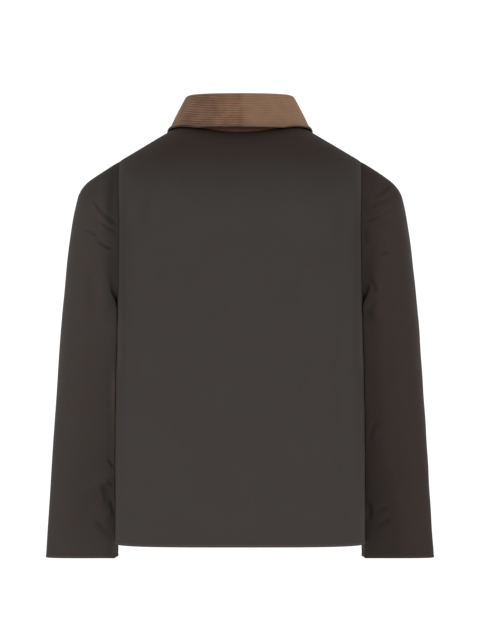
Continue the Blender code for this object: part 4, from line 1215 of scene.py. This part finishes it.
def waxed_cotton(name, colour, roughness, drift):
    """Waxed cotton: a fine plain weave filled with wax that lies unevenly, darker and smoother where
    it is thick, and rubbed paler and drier on edges. Painted shade darkens it down in creases and
    painted highlight lightens the ridges of creases, and painted light lightens the body's sides and
    the sleeves beside them through the wear mark. Its dye drifts between a redder and a greener
    brown in patches of about 30 mm. Painted shade darkens the yoke, and browns it close to the neck."""
    material, tree, where = new_material(name)
    threads = cloth_place(tree)
    blotches = noise(tree, where, 17.0, 4.0, 0.55)
    grain = noise(tree, where, 420.0)
    slubs = noise(tree, stretched(tree, threads, (1.0, 0.08, 1.0)), 700.0)
    wear, crease = mark(tree, "wear"), mark(tree, "crease")
    # Random paleness of the wax, with painted highlight on the ridges of creases and painted shade in their
    # troughs.
    paler = sum_of(tree, 0.5, (blotches, 0.6), (grain, 0.35), (slubs, 0.35), (crease, 0.6))
    tone = mixed(tree, paler, tinted(colour, 0.80), tinted(colour, 1.20))
    cloth_colour = mixed(tree, sum_of(tree, 0.5, (noise(tree, where, 32.0), drift)), REDDER, GREENER)
    tone = mixed(tree, 1.0, tone, cloth_colour, "MULTIPLY")
    # Real wear pales the edges, and painted light pales the body's sides and the sleeves beside them, both
    # through the wear mark.
    tone = mixed(tree, sum_of(tree, (wear, 0.35)), tone, tinted(colour, PALE_WEAR_AND_PAINTED_LIGHT))
    # Painted shade darkens the troughs of creases further.
    tone = mixed(tree, sum_of(tree, (crease, -0.4)), tone, tinted(colour, 0.45))
    tone = mixed(tree, mark(tree, "shade"), tone, SHADED_COTTON, "MULTIPLY")
    # Painted shade over the yoke, darker towards the top and browner close to the neck under the collar.
    level = add_node(tree, "SeparateXYZ", {0: where}).outputs[2]
    for low, high, tint in (TOP_PAINTED_SHADE, NECK_PAINTED_SHADE):
        tone = mixed(tree, ramp(tree, level, low, high), tone, tint, "MULTIPLY")
    rough = sum_of(tree, roughness, (blotches, 0.22), (grain, 0.10), (wear, 0.08), (crease, 0.06))
    height = sum_of(tree, (weave(tree, threads, THREAD_PITCH), 0.45), (slubs, 0.8), (grain, 0.6))
    inputs = {"Base Color": tone, "Roughness": rough, "Specular IOR Level": 0.15}
    return finish(material, inputs, (height, 0.35, 0.00012))


def cotton_pair(cloth_colour="cotton"):
    """The waxed face and the inner face of the cotton, made once for each colour setting. The sleeves'
    settings hold the cotton darkened with painted shade, and the under-collar's holds it lightened
    with painted light.
    """
    cloth = bpy.context.scene.jacket_cloth
    for name in (cloth_colour, "cotton_inside"):
        if name not in COTTONS:
            colour = tuple(getattr(cloth, name))
            drift = BODY_DYE_DRIFT if name == "cotton" else DYE_DRIFT
            COTTONS[name] = waxed_cotton(f"waxed_{name}", colour, cloth.cotton_roughness, drift)
    return [COTTONS[cloth_colour], COTTONS["cotton_inside"]]


def corduroy(name, colour):
    """Fine-wale corduroy: cut pile, pale on the wales and darker in the grooves with painted shade,
    crushed flat in places so that they show less there, brushed lighter and darker, with fibres along
    each wale. A lighter, greyer tone paints the sheen of the nap, and the shade mark paints shade."""
    material, tree, where = new_material(name)
    brushed = noise(tree, where, 34.0, 3.0)
    streaks = noise(tree, stretched(tree, cloth_place(tree), (0.06, 1.0, 1.0)), 900.0)
    tufts = noise(tree, where, 1300.0)
    crushed = sum_of(tree, 0.80, (noise(tree, where, 70.0), 2.2))
    # Paler on the wales and darker in the grooves, as painted shade, less so where the pile is crushed.
    paler = sum_of(tree, 0.0, (sum_of(tree, -0.5, mark(tree, "wale")), crushed), 0.4)
    worn = (mark(tree, "wear"), 0.1)
    paler = sum_of(tree, paler, (brushed, 0.6), (streaks, 0.5), (tufts, 0.3), worn)
    warm = mixed(tree, paler, tinted(colour, 0.25), tinted(colour, 1.35))
    # A lighter, greyer copy of the pile that paints the sheen of the nap where its mark is high.
    bright = tinted(colour, PAINTED_NAP_SHEEN)[:3]
    light = mixed(tree, paler, tinted(bright, 0.68), tinted(bright, 1.02))
    tone = mixed(tree, mark(tree, "nap"), warm, light)
    tone = mixed(tree, mark(tree, "shade"), tone, SHADED_CORDUROY, "MULTIPLY")
    pile = {"Roughness": 0.9, "Specular IOR Level": 0.15}
    sheen = {"Sheen Weight": 0.25, "Sheen Roughness": 0.55, "Sheen Tint": SHEEN}
    relief = (sum_of(tree, (streaks, 0.6), (tufts, 1.0)), 0.6, 0.0003)
    return finish(material, {"Base Color": tone, **pile, **sheen}, relief)


def sewing_thread(name, colour):
    """Twisted thread, with slight changes of colour along it."""
    material, tree, where = new_material(name)
    twist = noise(tree, where, 2400.0)
    paler = sum_of(tree, 0.5, (twist, 1.0), (noise(tree, where, 60.0), 0.6))
    tone = mixed(tree, paler, tinted(colour, 0.7), tinted(colour, 1.35))
    return finish(material, {"Base Color": tone, "Roughness": 0.65}, (twist, 0.5, 0.0002))


def horn(name, colour):
    """Horn-like resin: clouded dark and light streaks under a dull polish."""
    material, tree, where = new_material(name)
    clouds = noise(tree, stretched(tree, where, (1.0, 1.0, 0.4)), 160.0, 4.0, 0.6)
    scratches = noise(tree, where, 1800.0)
    tone = mixed(tree, sum_of(tree, 0.4, (clouds, 2.2)), tinted(colour, 0.55), tinted(colour, 2.6))
    rough = sum_of(tree, 0.34, (scratches, 0.25), (clouds, 0.12))
    return finish(material, {"Base Color": tone, "Roughness": rough}, (scratches, 0.15, 0.0001))


# ---- Sewing


def capsules(name, centres, ways, normals, length, radius, dip):
    """Short rounded bars: a six-sided ring of radius r(t) at t along the bar, r = 0, 0.85, 1, 0.85
    and 0 times the radius at t = -1, -0.75, 0, 0.75 and 1. The ends dip into the cloth."""
    t = np.concatenate([[-1.0], np.repeat([-0.75, 0.0, 0.75], 6), [1.0]])
    share = np.concatenate([[0.0], np.repeat([0.85, 1.0, 0.85], 6), [0.0]])
    turned = np.concatenate([[0.0], np.tile(SIX_ANGLES, 3), [0.0]])
    x = t * length / 2
    y = share * radius * np.cos(turned)
    z = share * radius * np.sin(turned) - dip * (2 * x / length) ** 2
    ways, normals = unit(ways), unit(normals)
    sides = unit(np.cross(normals, ways))
    points = centres[:, None] + ways[:, None] * x[:, None] + sides[:, None] * y[:, None]
    points = points + normals[:, None] * z[:, None]
    ring, after = 1 + np.arange(6), 1 + (np.arange(6) + 1) % 6
    faces = [np.stack([np.zeros(6, int), after, ring], axis=-1)]
    for start in (0, 6):
        faces.append(np.stack([ring + start, after + start, after + start + 6], axis=-1))
        faces.append(np.stack([ring + start, after + start + 6, ring + start + 6], axis=-1))
    faces.append(np.stack([ring + 12, after + 12, np.full(6, 19)], axis=-1))
    faces = np.concatenate(faces)[None] + 20 * np.arange(len(centres))[:, None, None]
    return plain_mesh(name, points, faces.reshape(-1, 3))


def tubes(name, paths, normals, radius):
    """Closed loops of round cord: a six-sided ring carried along each path."""
    ahead = unit(np.roll(paths, -1, axis=1) - np.roll(paths, 1, axis=1))
    side = unit(np.cross(ahead, normals))[:, :, None]
    up = unit(normals)[:, :, None]
    angle = SIX_ANGLES[:, None]
    points = paths[:, :, None] + radius * (np.cos(angle) * side + np.sin(angle) * up)
    index = np.arange(paths.shape[0] * paths.shape[1] * 6).reshape(*paths.shape[:2], 6)
    beside = np.roll(index, -1, axis=2)
    corners = [index, beside, np.roll(beside, -1, axis=1), np.roll(index, -1, axis=1)]
    return plain_mesh(name, points, np.stack(corners, axis=-1).reshape(-1, 4))


def plain_mesh(name, points, faces):
    """A smooth mesh from arrays of points and faces."""
    mesh = bpy.data.meshes.new(name)
    mesh.from_pydata(points.reshape(-1, 3).tolist(), [], faces.tolist())
    mesh.shade_smooth()
    return mesh


def stitch_line(path, normals):
    """Middles, directions and normals of stitches, evenly spaced along a line of points."""
    run = run_along(np.linalg.norm(np.diff(path, axis=0), axis=1))
    at = np.arange(STITCH_PITCH, run[-1] - STITCH_PITCH / 2, STITCH_PITCH)
    lines = (path, np.gradient(path, axis=0), normals)
    return [np.stack([np.interp(at, run, line[:, axis]) for axis in range(3)], axis=-1) for line in lines]


# ---- Studio


def add_floor(level):
    """A round pale floor: a disc with a fine even grain."""
    angle = np.arange(96) * 2 * math.pi / 96
    rim = [FLOOR_RADIUS * np.cos(angle), FLOOR_RADIUS * np.sin(angle), np.full(96, level)]
    mesh = bpy.data.meshes.new("floor")
    mesh.from_pydata(np.stack(rim, axis=-1).tolist(), [], [list(range(96))])
    material, tree, where = new_material("floor_paint")
    grain = sum_of(tree, 0.5, (noise(tree, where, 3.0), 0.4))
    tone = mixed(tree, grain, tinted((1, 1, 1), 0.83), tinted((1, 1, 1), 0.86))
    mesh.materials.append(finish(material, {"Base Color": tone, "Roughness": 0.8, "Specular IOR Level": 0.2}))
    floor = bpy.data.objects.new("floor", mesh)
    bpy.context.collection.objects.link(floor)
    floor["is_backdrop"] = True


def add_light(name, place, size, energy):
    """A square soft light that faces the middle of the jacket."""
    lamp = bpy.data.lights.new(name, "AREA")
    lamp.shape, lamp.size, lamp.energy = "SQUARE", size, energy
    light = bpy.data.objects.new(name, lamp)
    way = np.array(LIT_PLACE) - np.array(place)
    light.location = place
    tilt = math.atan2(math.hypot(way[0], way[1]), -way[2])
    light.rotation_euler = (tilt, 0.0, math.atan2(-way[0], way[1]))
    bpy.context.collection.objects.link(light)


def add_world(scene):
    """A white surround that lights the jacket softly from all sides, and is white to the camera. By
    the height z of the direction it is WALL_LIGHT up to 0.31 and falls to CEILING_LIGHT at 0.94, as
    1.5 - 1.6 z between 0 and 1. It grows by BACK_LIGHT x y towards the back."""
    world = bpy.data.worlds.new("studio")
    world.use_nodes = True
    tree = world.node_tree
    tree.nodes.clear()
    parts = add_node(tree, "SeparateXYZ", {0: add_node(tree, "TexCoord").outputs["Generated"]}).outputs
    low = reckon(tree, "ADD", sum_of(tree, 1.0, (parts[2], -1.6)), 0.5, use_clamp=True)
    lift = WALL_LIGHT - CEILING_LIGHT
    strength = sum_of(tree, CEILING_LIGHT, (low, lift), (parts[1], BACK_LIGHT))
    both = {0: add_node(tree, "LightPath").outputs["Is Camera Ray"]}
    for socket, shine in ((1, strength), (2, CAMERA_WHITE)):
        inputs = {"Color": (1.0, 1.0, 1.0, 1.0), "Strength": shine}
        both[socket] = add_node(tree, "Background", inputs).outputs[0]
    add_node(tree, "OutputWorld", {"Surface": add_node(tree, "MixShader", both).outputs[0]})
    scene.world = world


# ---- Settings


def colour_setting(name, description, default):
    """A colour that a user may change."""
    limits = {"subtype": "COLOR", "min": 0.0, "max": 1.0}
    return FloatVectorProperty(name=name, description=description, default=default, **limits)


def length_setting(name, description, default, **limits):
    """A length that a user may change, in metres."""
    return FloatProperty(name=name, description=description, default=default, unit="LENGTH", **limits)


class JacketCloth(bpy.types.PropertyGroup):
    """Colours and finish of the cloth."""

    cotton: colour_setting("Waxed cotton", "Colour of the waxed cotton", (0.0545, 0.0468, 0.0447))
    # The sleeves' colours are the cotton's darkened with painted shade, the right sleeve's more than the
    # left's.
    cotton_left: colour_setting(
        "Left sleeve", "Colour of the left sleeve's waxed cotton", (0.0504, 0.0416, 0.0378)
    )
    cotton_right: colour_setting(
        "Right sleeve", "Colour of the right sleeve's waxed cotton", (0.0425, 0.0306, 0.0274)
    )
    cotton_inside: colour_setting(
        "Inside of the cotton", "Colour of the cotton's unwaxed inner face", (0.0450, 0.0390, 0.0340)
    )
    # The under-collar's colour is the cotton's lightened with painted light, as it lies in shade under the
    # fall.
    under_collar: colour_setting(
        "Under-collar", "Colour of the under-collar's cotton", (0.1500, 0.1040, 0.0880)
    )
    cotton_roughness: FloatProperty(
        name="Wax roughness",
        description="Roughness of the waxed face",
        default=0.75,
        subtype="FACTOR",
        min=0.0,
        max=1.0,
    )
    corduroy: colour_setting("Corduroy", "Colour of the corduroy collar", (0.240, 0.124, 0.073))
    thread: colour_setting("Thread", "Colour of the sewing thread", (0.040, 0.032, 0.027))
    horn: colour_setting("Buttons", "Colour of the buttons", SLOT_COLOURS["button_horn"])


class JacketSizes(bpy.types.PropertyGroup):
    """Sizes of the finer forms."""

    wale: length_setting(
        "Wale", "Distance from one wale of the corduroy to the next", 0.0031, min=0.001, max=0.006
    )
    wale_height: length_setting(
        "Wale height", "Depth of the grooves between the wales", 0.0006, min=0.0, max=0.0012
    )
    unevenness: length_setting(
        "Unevenness", "Height of the cloth's slow waves", 0.0005, min=0.0, max=0.003
    )


class JacketStudio(bpy.types.PropertyGroup):
    """Camera, floor and light."""

    camera_distance: length_setting(
        "Camera distance", "Distance of the camera behind the middle of the jacket", 5.5, min=1.0
    )
    camera_level: length_setting(
        "Camera level", "Height of the camera from the neck opening", -0.2986
    )
    view_height: length_setting(
        "View height", "Height of the view at the middle of the jacket", 1.024, min=0.1
    )
    floor_level: length_setting(
        "Floor level", "Height of the floor from the neck opening, as under a standing wearer", -1.45
    )


# ---- Operators


class JACKET_OT_back(bpy.types.Operator):
    """Make the one-piece back, from side seam to side seam"""

    bl_idname = "jacket.back"
    bl_label = "Back"

    def execute(self, context):
        angle = np.linspace(0.0, math.pi / 2, NECK_BACK_POINTS)
        half = np.concatenate([neck_turn(NECK_HALF_WIDTH * np.sin(angle)), shoulder_turns()[1:]])
        turns = np.concatenate([-half[:0:-1], half])
        turn, climb, flat = body_grid("back", turns, None, neck_climb(turns, "back"))
        points, normals, _ = form_frame(turn, climb, "back")
        hem = edge_distance(points, "first_row")
        seams = edge_distance(points, "last_row", "first_column", "last_column")
        creases = crease_swell(points, BACK_CREASES) * facing(normals, BODY_FACING)
        waves = undulation(points, "back", np.minimum(hem, seams))
        faces = cloth_faces(points, normals, creases + waves, seam_roll(seams) + hem_groove(hem))
        # Painted light: a paler strip along each side, stronger up beside the armholes, which lightens the
        # shade where the cloth turns in beside the sleeve.
        upper = smooth_step((points[..., 2] - PAINTED_LIGHT_BODY_LEVEL) / PAINTED_LIGHT_FADE)
        side = np.abs(points[..., 0]) - SIDE_PLACE + PAINTED_LIGHT_SIDE + PAINTED_LIGHT_SIDE_MORE * upper
        side = smooth_step(side / PAINTED_LIGHT_SIDE_FADE) * (PAINTED_LIGHT_SIDE_STRENGTH + PAINTED_LIGHT_SIDE_STRENGTH_MORE * upper)
        side = side * facing(normals, PAINTED_LIGHT_BODY_FACING)
        wear = np.maximum(bell(hem / WEAR_WIDTH), SEAM_WEAR * bell(seams / WEAR_WIDTH))
        marks = cotton_marks(np.maximum(wear, side), creases, body_shade(points))
        add_cotton("back", faces, marks, flat=flat)
        row = stitch_row(hem[:, 0])
        SEAMS.append((faces[0][row], normals[row]))
        return {"FINISHED"}


class JACKET_OT_fronts(bpy.types.Operator):
    """Make the left front, which laps over, and the right front under it"""

    bl_idname = "jacket.fronts"
    bl_label = "Fronts"

    def execute(self, context):
        lap = places_along(LAP + COLLAR_END_PLACE, GRID, HEM_PLACES) - LAP
        angle = np.linspace(COLLAR_END_ANGLE, math.pi / 2, NECK_FRONT_POINTS)[1:]
        x = np.concatenate([lap, NECK_HALF_WIDTH * np.sin(angle)])
        turns = np.concatenate([neck_turn(x), shoulder_turns()[1:]])
        top = neck_climb(turns, "front")
        top[: len(lap)] *= np.interp(lap, LAP_CORNER["x"], LAP_CORNER["climb"])
        turn, climb, flat = body_grid("front", turns, turns[0], top)
        points, normals, _ = form_frame(turn, climb, "front")
        hem, edge = edge_distance(points, "first_row"), edge_distance(points, "first_column")
        seams = edge_distance(points, "last_row", "last_column")
        turned = facing(normals, -BODY_FACING)
        away = np.min([hem, seams, edge], axis=0) - CALM_WIDTH
        past_lap = smooth_step((points[..., 0] - LAP_PLACE) / LAP_FADE)
        wear = bell(np.minimum(hem, edge) / WEAR_WIDTH) + SEAM_WEAR * bell(seams / WEAR_WIDTH)
        row, column = stitch_row(hem[:, LAP_STITCH_COLUMN]), LAP_STITCH_COLUMN
        for side, sign, first in (("left", 1, column), ("right", -1, UNDERLAP_COLUMN)):
            mirror = mirror_of(sign)
            creases = crease_swell(points, FRONT_CREASES) * turned * FRONT_CREASING[side]
            waves = undulation(points * mirror, f"front_{side}", away) * past_lap
            detail = seam_roll(seams) + hem_groove(hem)
            bends = creases + waves
            if side == "left":
                bends = bends + lap_lift(points[..., 0])
                detail = detail + hem_groove(edge)
            outer, inner = cloth_faces(points, normals, bends, detail)
            marks = cotton_marks(wear, creases, body_shade(points))
            add_cotton(f"front_{side}", (outer * mirror, inner * mirror), marks, flat=flat)
            SEAMS.append((outer[row, first:] * mirror, normals[row, first:] * mirror))
            if side == "left":
                SEAMS.append((outer[row:, column], normals[row:, column]))
        return {"FINISHED"}


class JACKET_OT_sleeves(bpy.types.Operator):
    """Make both sleeves, each a tube from the armhole to the cuff"""

    bl_idname = "jacket.sleeves"
    bl_label = "Sleeves"

    def execute(self, context):
        for side, sign in (("left", 1), ("right", -1)):
            mirror = mirror_of(sign)
            points, normals, folds, creases, at = sleeve_grid(side)
            cuff, seam = edge_distance(points, "last_row"), edge_distance(points, "first_row")
            waves = undulation(points * mirror, f"sleeve_{side}", np.minimum(cuff, seam))
            detail = seam_roll(seam, *ARMHOLE_ROLL) + hem_groove(cuff)
            outer, inner = cloth_faces(points, normals, folds + creases + waves, detail)
            shift = beside_body(outer, at)
            outer, inner = outer + shift, inner + shift
            # Painted light: a paler strip on the sleeve beside the body, low down, which lightens the shade
            # of the corner there.
            beside = bell((outer[..., 0] - SIDE_PLACE) / PAINTED_LIGHT_SLEEVE_WIDTH)
            beside = beside * smooth_step((PAINTED_LIGHT_SLEEVE_LEVEL - outer[..., 2]) / PAINTED_LIGHT_FADE)
            beside = beside * facing(normals, PAINTED_LIGHT_SLEEVE_FACING) * PAINTED_LIGHT_SLEEVE_STRENGTH[side]
            wear = np.maximum(bell(cuff / WEAR_WIDTH), beside)
            marks = cotton_marks(wear, creases, sleeve_shade(outer, SLEEVE_SHADES[side]))
            for grid in (outer, inner):
                grid[:, -1] = grid[:, 0]
            faces = outer * mirror, inner * mirror
            add_cotton(f"sleeve_{side}", faces, marks, f"cotton_{side}", closed=True)
            row = stitch_row(cuff[:, 0])
            SEAMS.append((outer[row] * mirror, normals[row] * mirror))
        return {"FINISHED"}


class JACKET_OT_collar(bpy.types.Operator):
    """Make the corduroy top collar and the plain under-collar"""

    bl_idname = "jacket.collar"
    bl_label = "Collar"

    def execute(self, context):
        cloth, sizes = context.scene.jacket_cloth, context.scene.jacket_sizes
        middle, normals, place, rows_edge = collar_grid(sizes.wale)
        edge = np.minimum(rows_edge, edge_distance(middle, "first_column", "last_column"))
        wale = np.abs(np.cos(math.pi * place / sizes.wale))
        groove = 1 - wale * smooth_step(edge / WALE_FADE)
        outer = SEAM_GAP / 2 + CORDUROY - sizes.wale_height * groove
        x = middle[..., 0]
        # Painted sheen of the nap: full on the wearer's right of the centre back, none on the left, less at
        # the centre back.
        nap = 0.5 - 0.5 * np.tanh(x / PAINTED_SHEEN_TURN)
        nap = nap - PAINTED_SHEEN_NOTCH_DEPTH * bell(x / PAINTED_SHEEN_NOTCH) * (x < PAINTED_SHEEN_NOTCH_END)
        shade = FALL_SHADE * bell((place[-1] - place) / FALL_SHADE_WIDTH)
        shade = shade + SIDE_SHADE * smooth_step((x - SIDE_SHADE_START) / SIDE_SHADE_WIDTH)
        marks = {
            "wale": wale * smooth_step(edge / WALE_TONE_FADE),
            "wear": bell(edge / COLLAR_WEAR_WIDTH),
            "nap": np.clip(nap, 0, 1),
            "shade": shade,
        }
        faces = middle + normals * outer[..., None], middle + normals * SEAM_GAP / 2
        mesh = wall_mesh("collar_top_cloth", *faces, marks, inset=False)
        pile = corduroy("corduroy_pile", tuple(cloth.corduroy))
        add_piece("collar_top_cloth", mesh, [pile, pile], "collar_top")
        rows = np.r_[0 : len(middle) : WALE_ROWS * 2, len(middle) - 1]
        plain = np.zeros((len(rows), middle.shape[1]))
        depths = SEAM_GAP / 2, SEAM_GAP / 2 + UNDER_COLLAR_CLOTH
        faces = [(middle - normals * depth)[rows] for depth in depths]
        mesh = wall_mesh("collar_under_cloth", *faces, {"wear": plain, "crease": plain}, inset=False)
        cotton = cotton_pair("under_collar")[0]
        add_piece("collar_under_cloth", mesh, [cotton, cotton], "collar_under")
        return {"FINISHED"}


class JACKET_OT_sewing(bpy.types.Operator):
    """Sew the hems, cuffs and front edge, and work the buttonholes"""

    bl_idname = "jacket.sewing"
    bl_label = "Sewing"

    def execute(self, context):
        thread = sewing_thread("sewing_thread", tuple(context.scene.jacket_cloth.thread))
        centres, ways, normals = map(np.concatenate, zip(*(stitch_line(*seam) for seam in SEAMS)))
        centres = centres + unit(normals) * THREAD_RADIUS / 2
        mesh = capsules("stitches", centres, ways, normals, STITCH_LENGTH, THREAD_RADIUS, STITCH_DIP)
        add_piece("stitches", mesh, [thread])
        angle = np.linspace(0.0, 2 * math.pi, BUTTONHOLE_POINTS, endpoint=False)
        x = BUTTONHOLE_PLACE + BUTTONHOLE_HALF_LENGTH * power(np.cos(angle), BUTTONHOLE_END_POWER)
        rise = BUTTONHOLE_HALF_WIDTH * power(np.sin(angle), BUTTONHOLE_SIDE_POWER)[:, None]
        lifted = lap_lift(x)[:, None] + BUTTONHOLE_RAISE
        paths, ups = [], []
        for climb in climb_of(0.0, BUTTON_LEVELS):
            points, normals, onward = form_frame(neck_turn(x), np.full_like(x, climb), "front")
            paths.append(points + normals * lifted + onward * rise)
            ups.append(normals)
        mesh = tubes("buttonholes", np.stack(paths), np.stack(ups), BUTTONHOLE_THREAD_RADIUS)
        add_piece("buttonholes", mesh, [thread])
        return {"FINISHED"}


class JACKET_OT_buttons(bpy.types.Operator):
    """Finish the buttons and sew them on with two bars of thread each"""

    bl_idname = "jacket.buttons"
    bl_label = "Buttons"

    def execute(self, context):
        cloth = context.scene.jacket_cloth
        resin = horn("button_resin", tuple(cloth.horn))
        for number in range(1, BUTTON_COUNT + 1):
            materials = frame["nodes"][f"button_{number}"].data.materials
            materials.clear()
            materials.append(resin)
        climbs = climb_of(0.0, BUTTON_LEVELS)
        points, normals, onward = form_frame(np.zeros(BUTTON_COUNT), climbs, "front")
        hole = BUTTON_HOLE_SPREAD * math.sqrt(0.5)
        places = (points + normals * (LAP_LIFT + SEAM_GAP + BUTTON_DISH))[:, None]
        centres = (places + onward[:, None] * hole * np.array([-1.0, 1.0])[:, None]).reshape(-1, 3)
        ways = np.tile((1.0, 0.0, 0.0), (len(centres), 1))
        bars = centres, ways, np.repeat(normals, 2, axis=0)
        sizes = 2 * hole + BUTTON_THREAD_EXTRA, BUTTON_THREAD_RADIUS, BUTTON_THREAD_DIP
        thread = sewing_thread("button_thread", tuple(cloth.thread))
        add_piece("button_threads", capsules("button_threads", *bars, *sizes), [thread])
        return {"FINISHED"}


class JACKET_OT_studio(bpy.types.Operator):
    """Set up the floor, the soft lights and the camera behind the jacket"""

    bl_idname = "jacket.studio"
    bl_label = "Studio"

    def execute(self, context):
        scene, studio = context.scene, context.scene.jacket_studio
        add_floor(studio.floor_level)
        for light in LIGHTS:
            add_light(*light)
        add_world(scene)
        camera = bpy.data.objects.new("camera", bpy.data.cameras.new("camera"))
        camera.location = (0.0, studio.camera_distance, studio.camera_level)
        camera.rotation_euler = (math.pi / 2, 0.0, math.pi)
        camera.data.sensor_width = SENSOR
        camera.data.lens = SENSOR * studio.camera_distance / studio.view_height
        camera.data.clip_end = 100.0
        context.collection.objects.link(camera)
        scene.camera = camera
        scene.view_settings.view_transform = "Standard"
        return {"FINISHED"}


# ---- Panel and registration


class JACKET_PT_pieces(bpy.types.Panel):
    """The jacket's pieces and settings"""

    bl_idname = "JACKET_PT_pieces"
    bl_label = "Waxed Cotton Jacket"
    bl_space_type = "VIEW_3D"
    bl_region_type = "UI"
    bl_category = "Jacket"

    def draw(self, context):
        for group in SETTINGS:
            settings = getattr(context.scene, group)
            for name in settings.__annotations__:
                self.layout.prop(settings, name)
        for operator in OPERATORS:
            self.layout.operator(operator.bl_idname)


OPERATORS = (
    JACKET_OT_studio,
    JACKET_OT_back,
    JACKET_OT_fronts,
    JACKET_OT_sleeves,
    JACKET_OT_collar,
    JACKET_OT_sewing,
    JACKET_OT_buttons,
)
SETTINGS = {"jacket_cloth": JacketCloth, "jacket_sizes": JacketSizes, "jacket_studio": JacketStudio}


def register():
    """Registers the settings, the operators and the panel."""
    for name, settings in SETTINGS.items():
        bpy.utils.register_class(settings)
        setattr(bpy.types.Scene, name, PointerProperty(type=settings))
    for shown in OPERATORS + (JACKET_PT_pieces,):
        bpy.utils.register_class(shown)


def unregister():
    """Takes back what register has registered."""
    for shown in reversed(OPERATORS + (JACKET_PT_pieces,)):
        bpy.utils.unregister_class(shown)
    for name, settings in reversed(SETTINGS.items()):
        delattr(bpy.types.Scene, name)
        bpy.utils.unregister_class(settings)


def main():
    """Makes every piece in order and works out the two boxes."""
    register()
    bpy.ops.jacket.studio()
    bpy.ops.jacket.back()
    bpy.ops.jacket.fronts()
    bpy.ops.jacket.sleeves()
    bpy.ops.jacket.collar()
    bpy.ops.jacket.sewing()
    bpy.ops.jacket.buttons()
    boxes = {"cad": CAD_BOX, "visual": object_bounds()}
    boxes = {name: [[float(c) for c in corner] for corner in box] for name, box in boxes.items()}


if __name__ == "__main__":
    main()
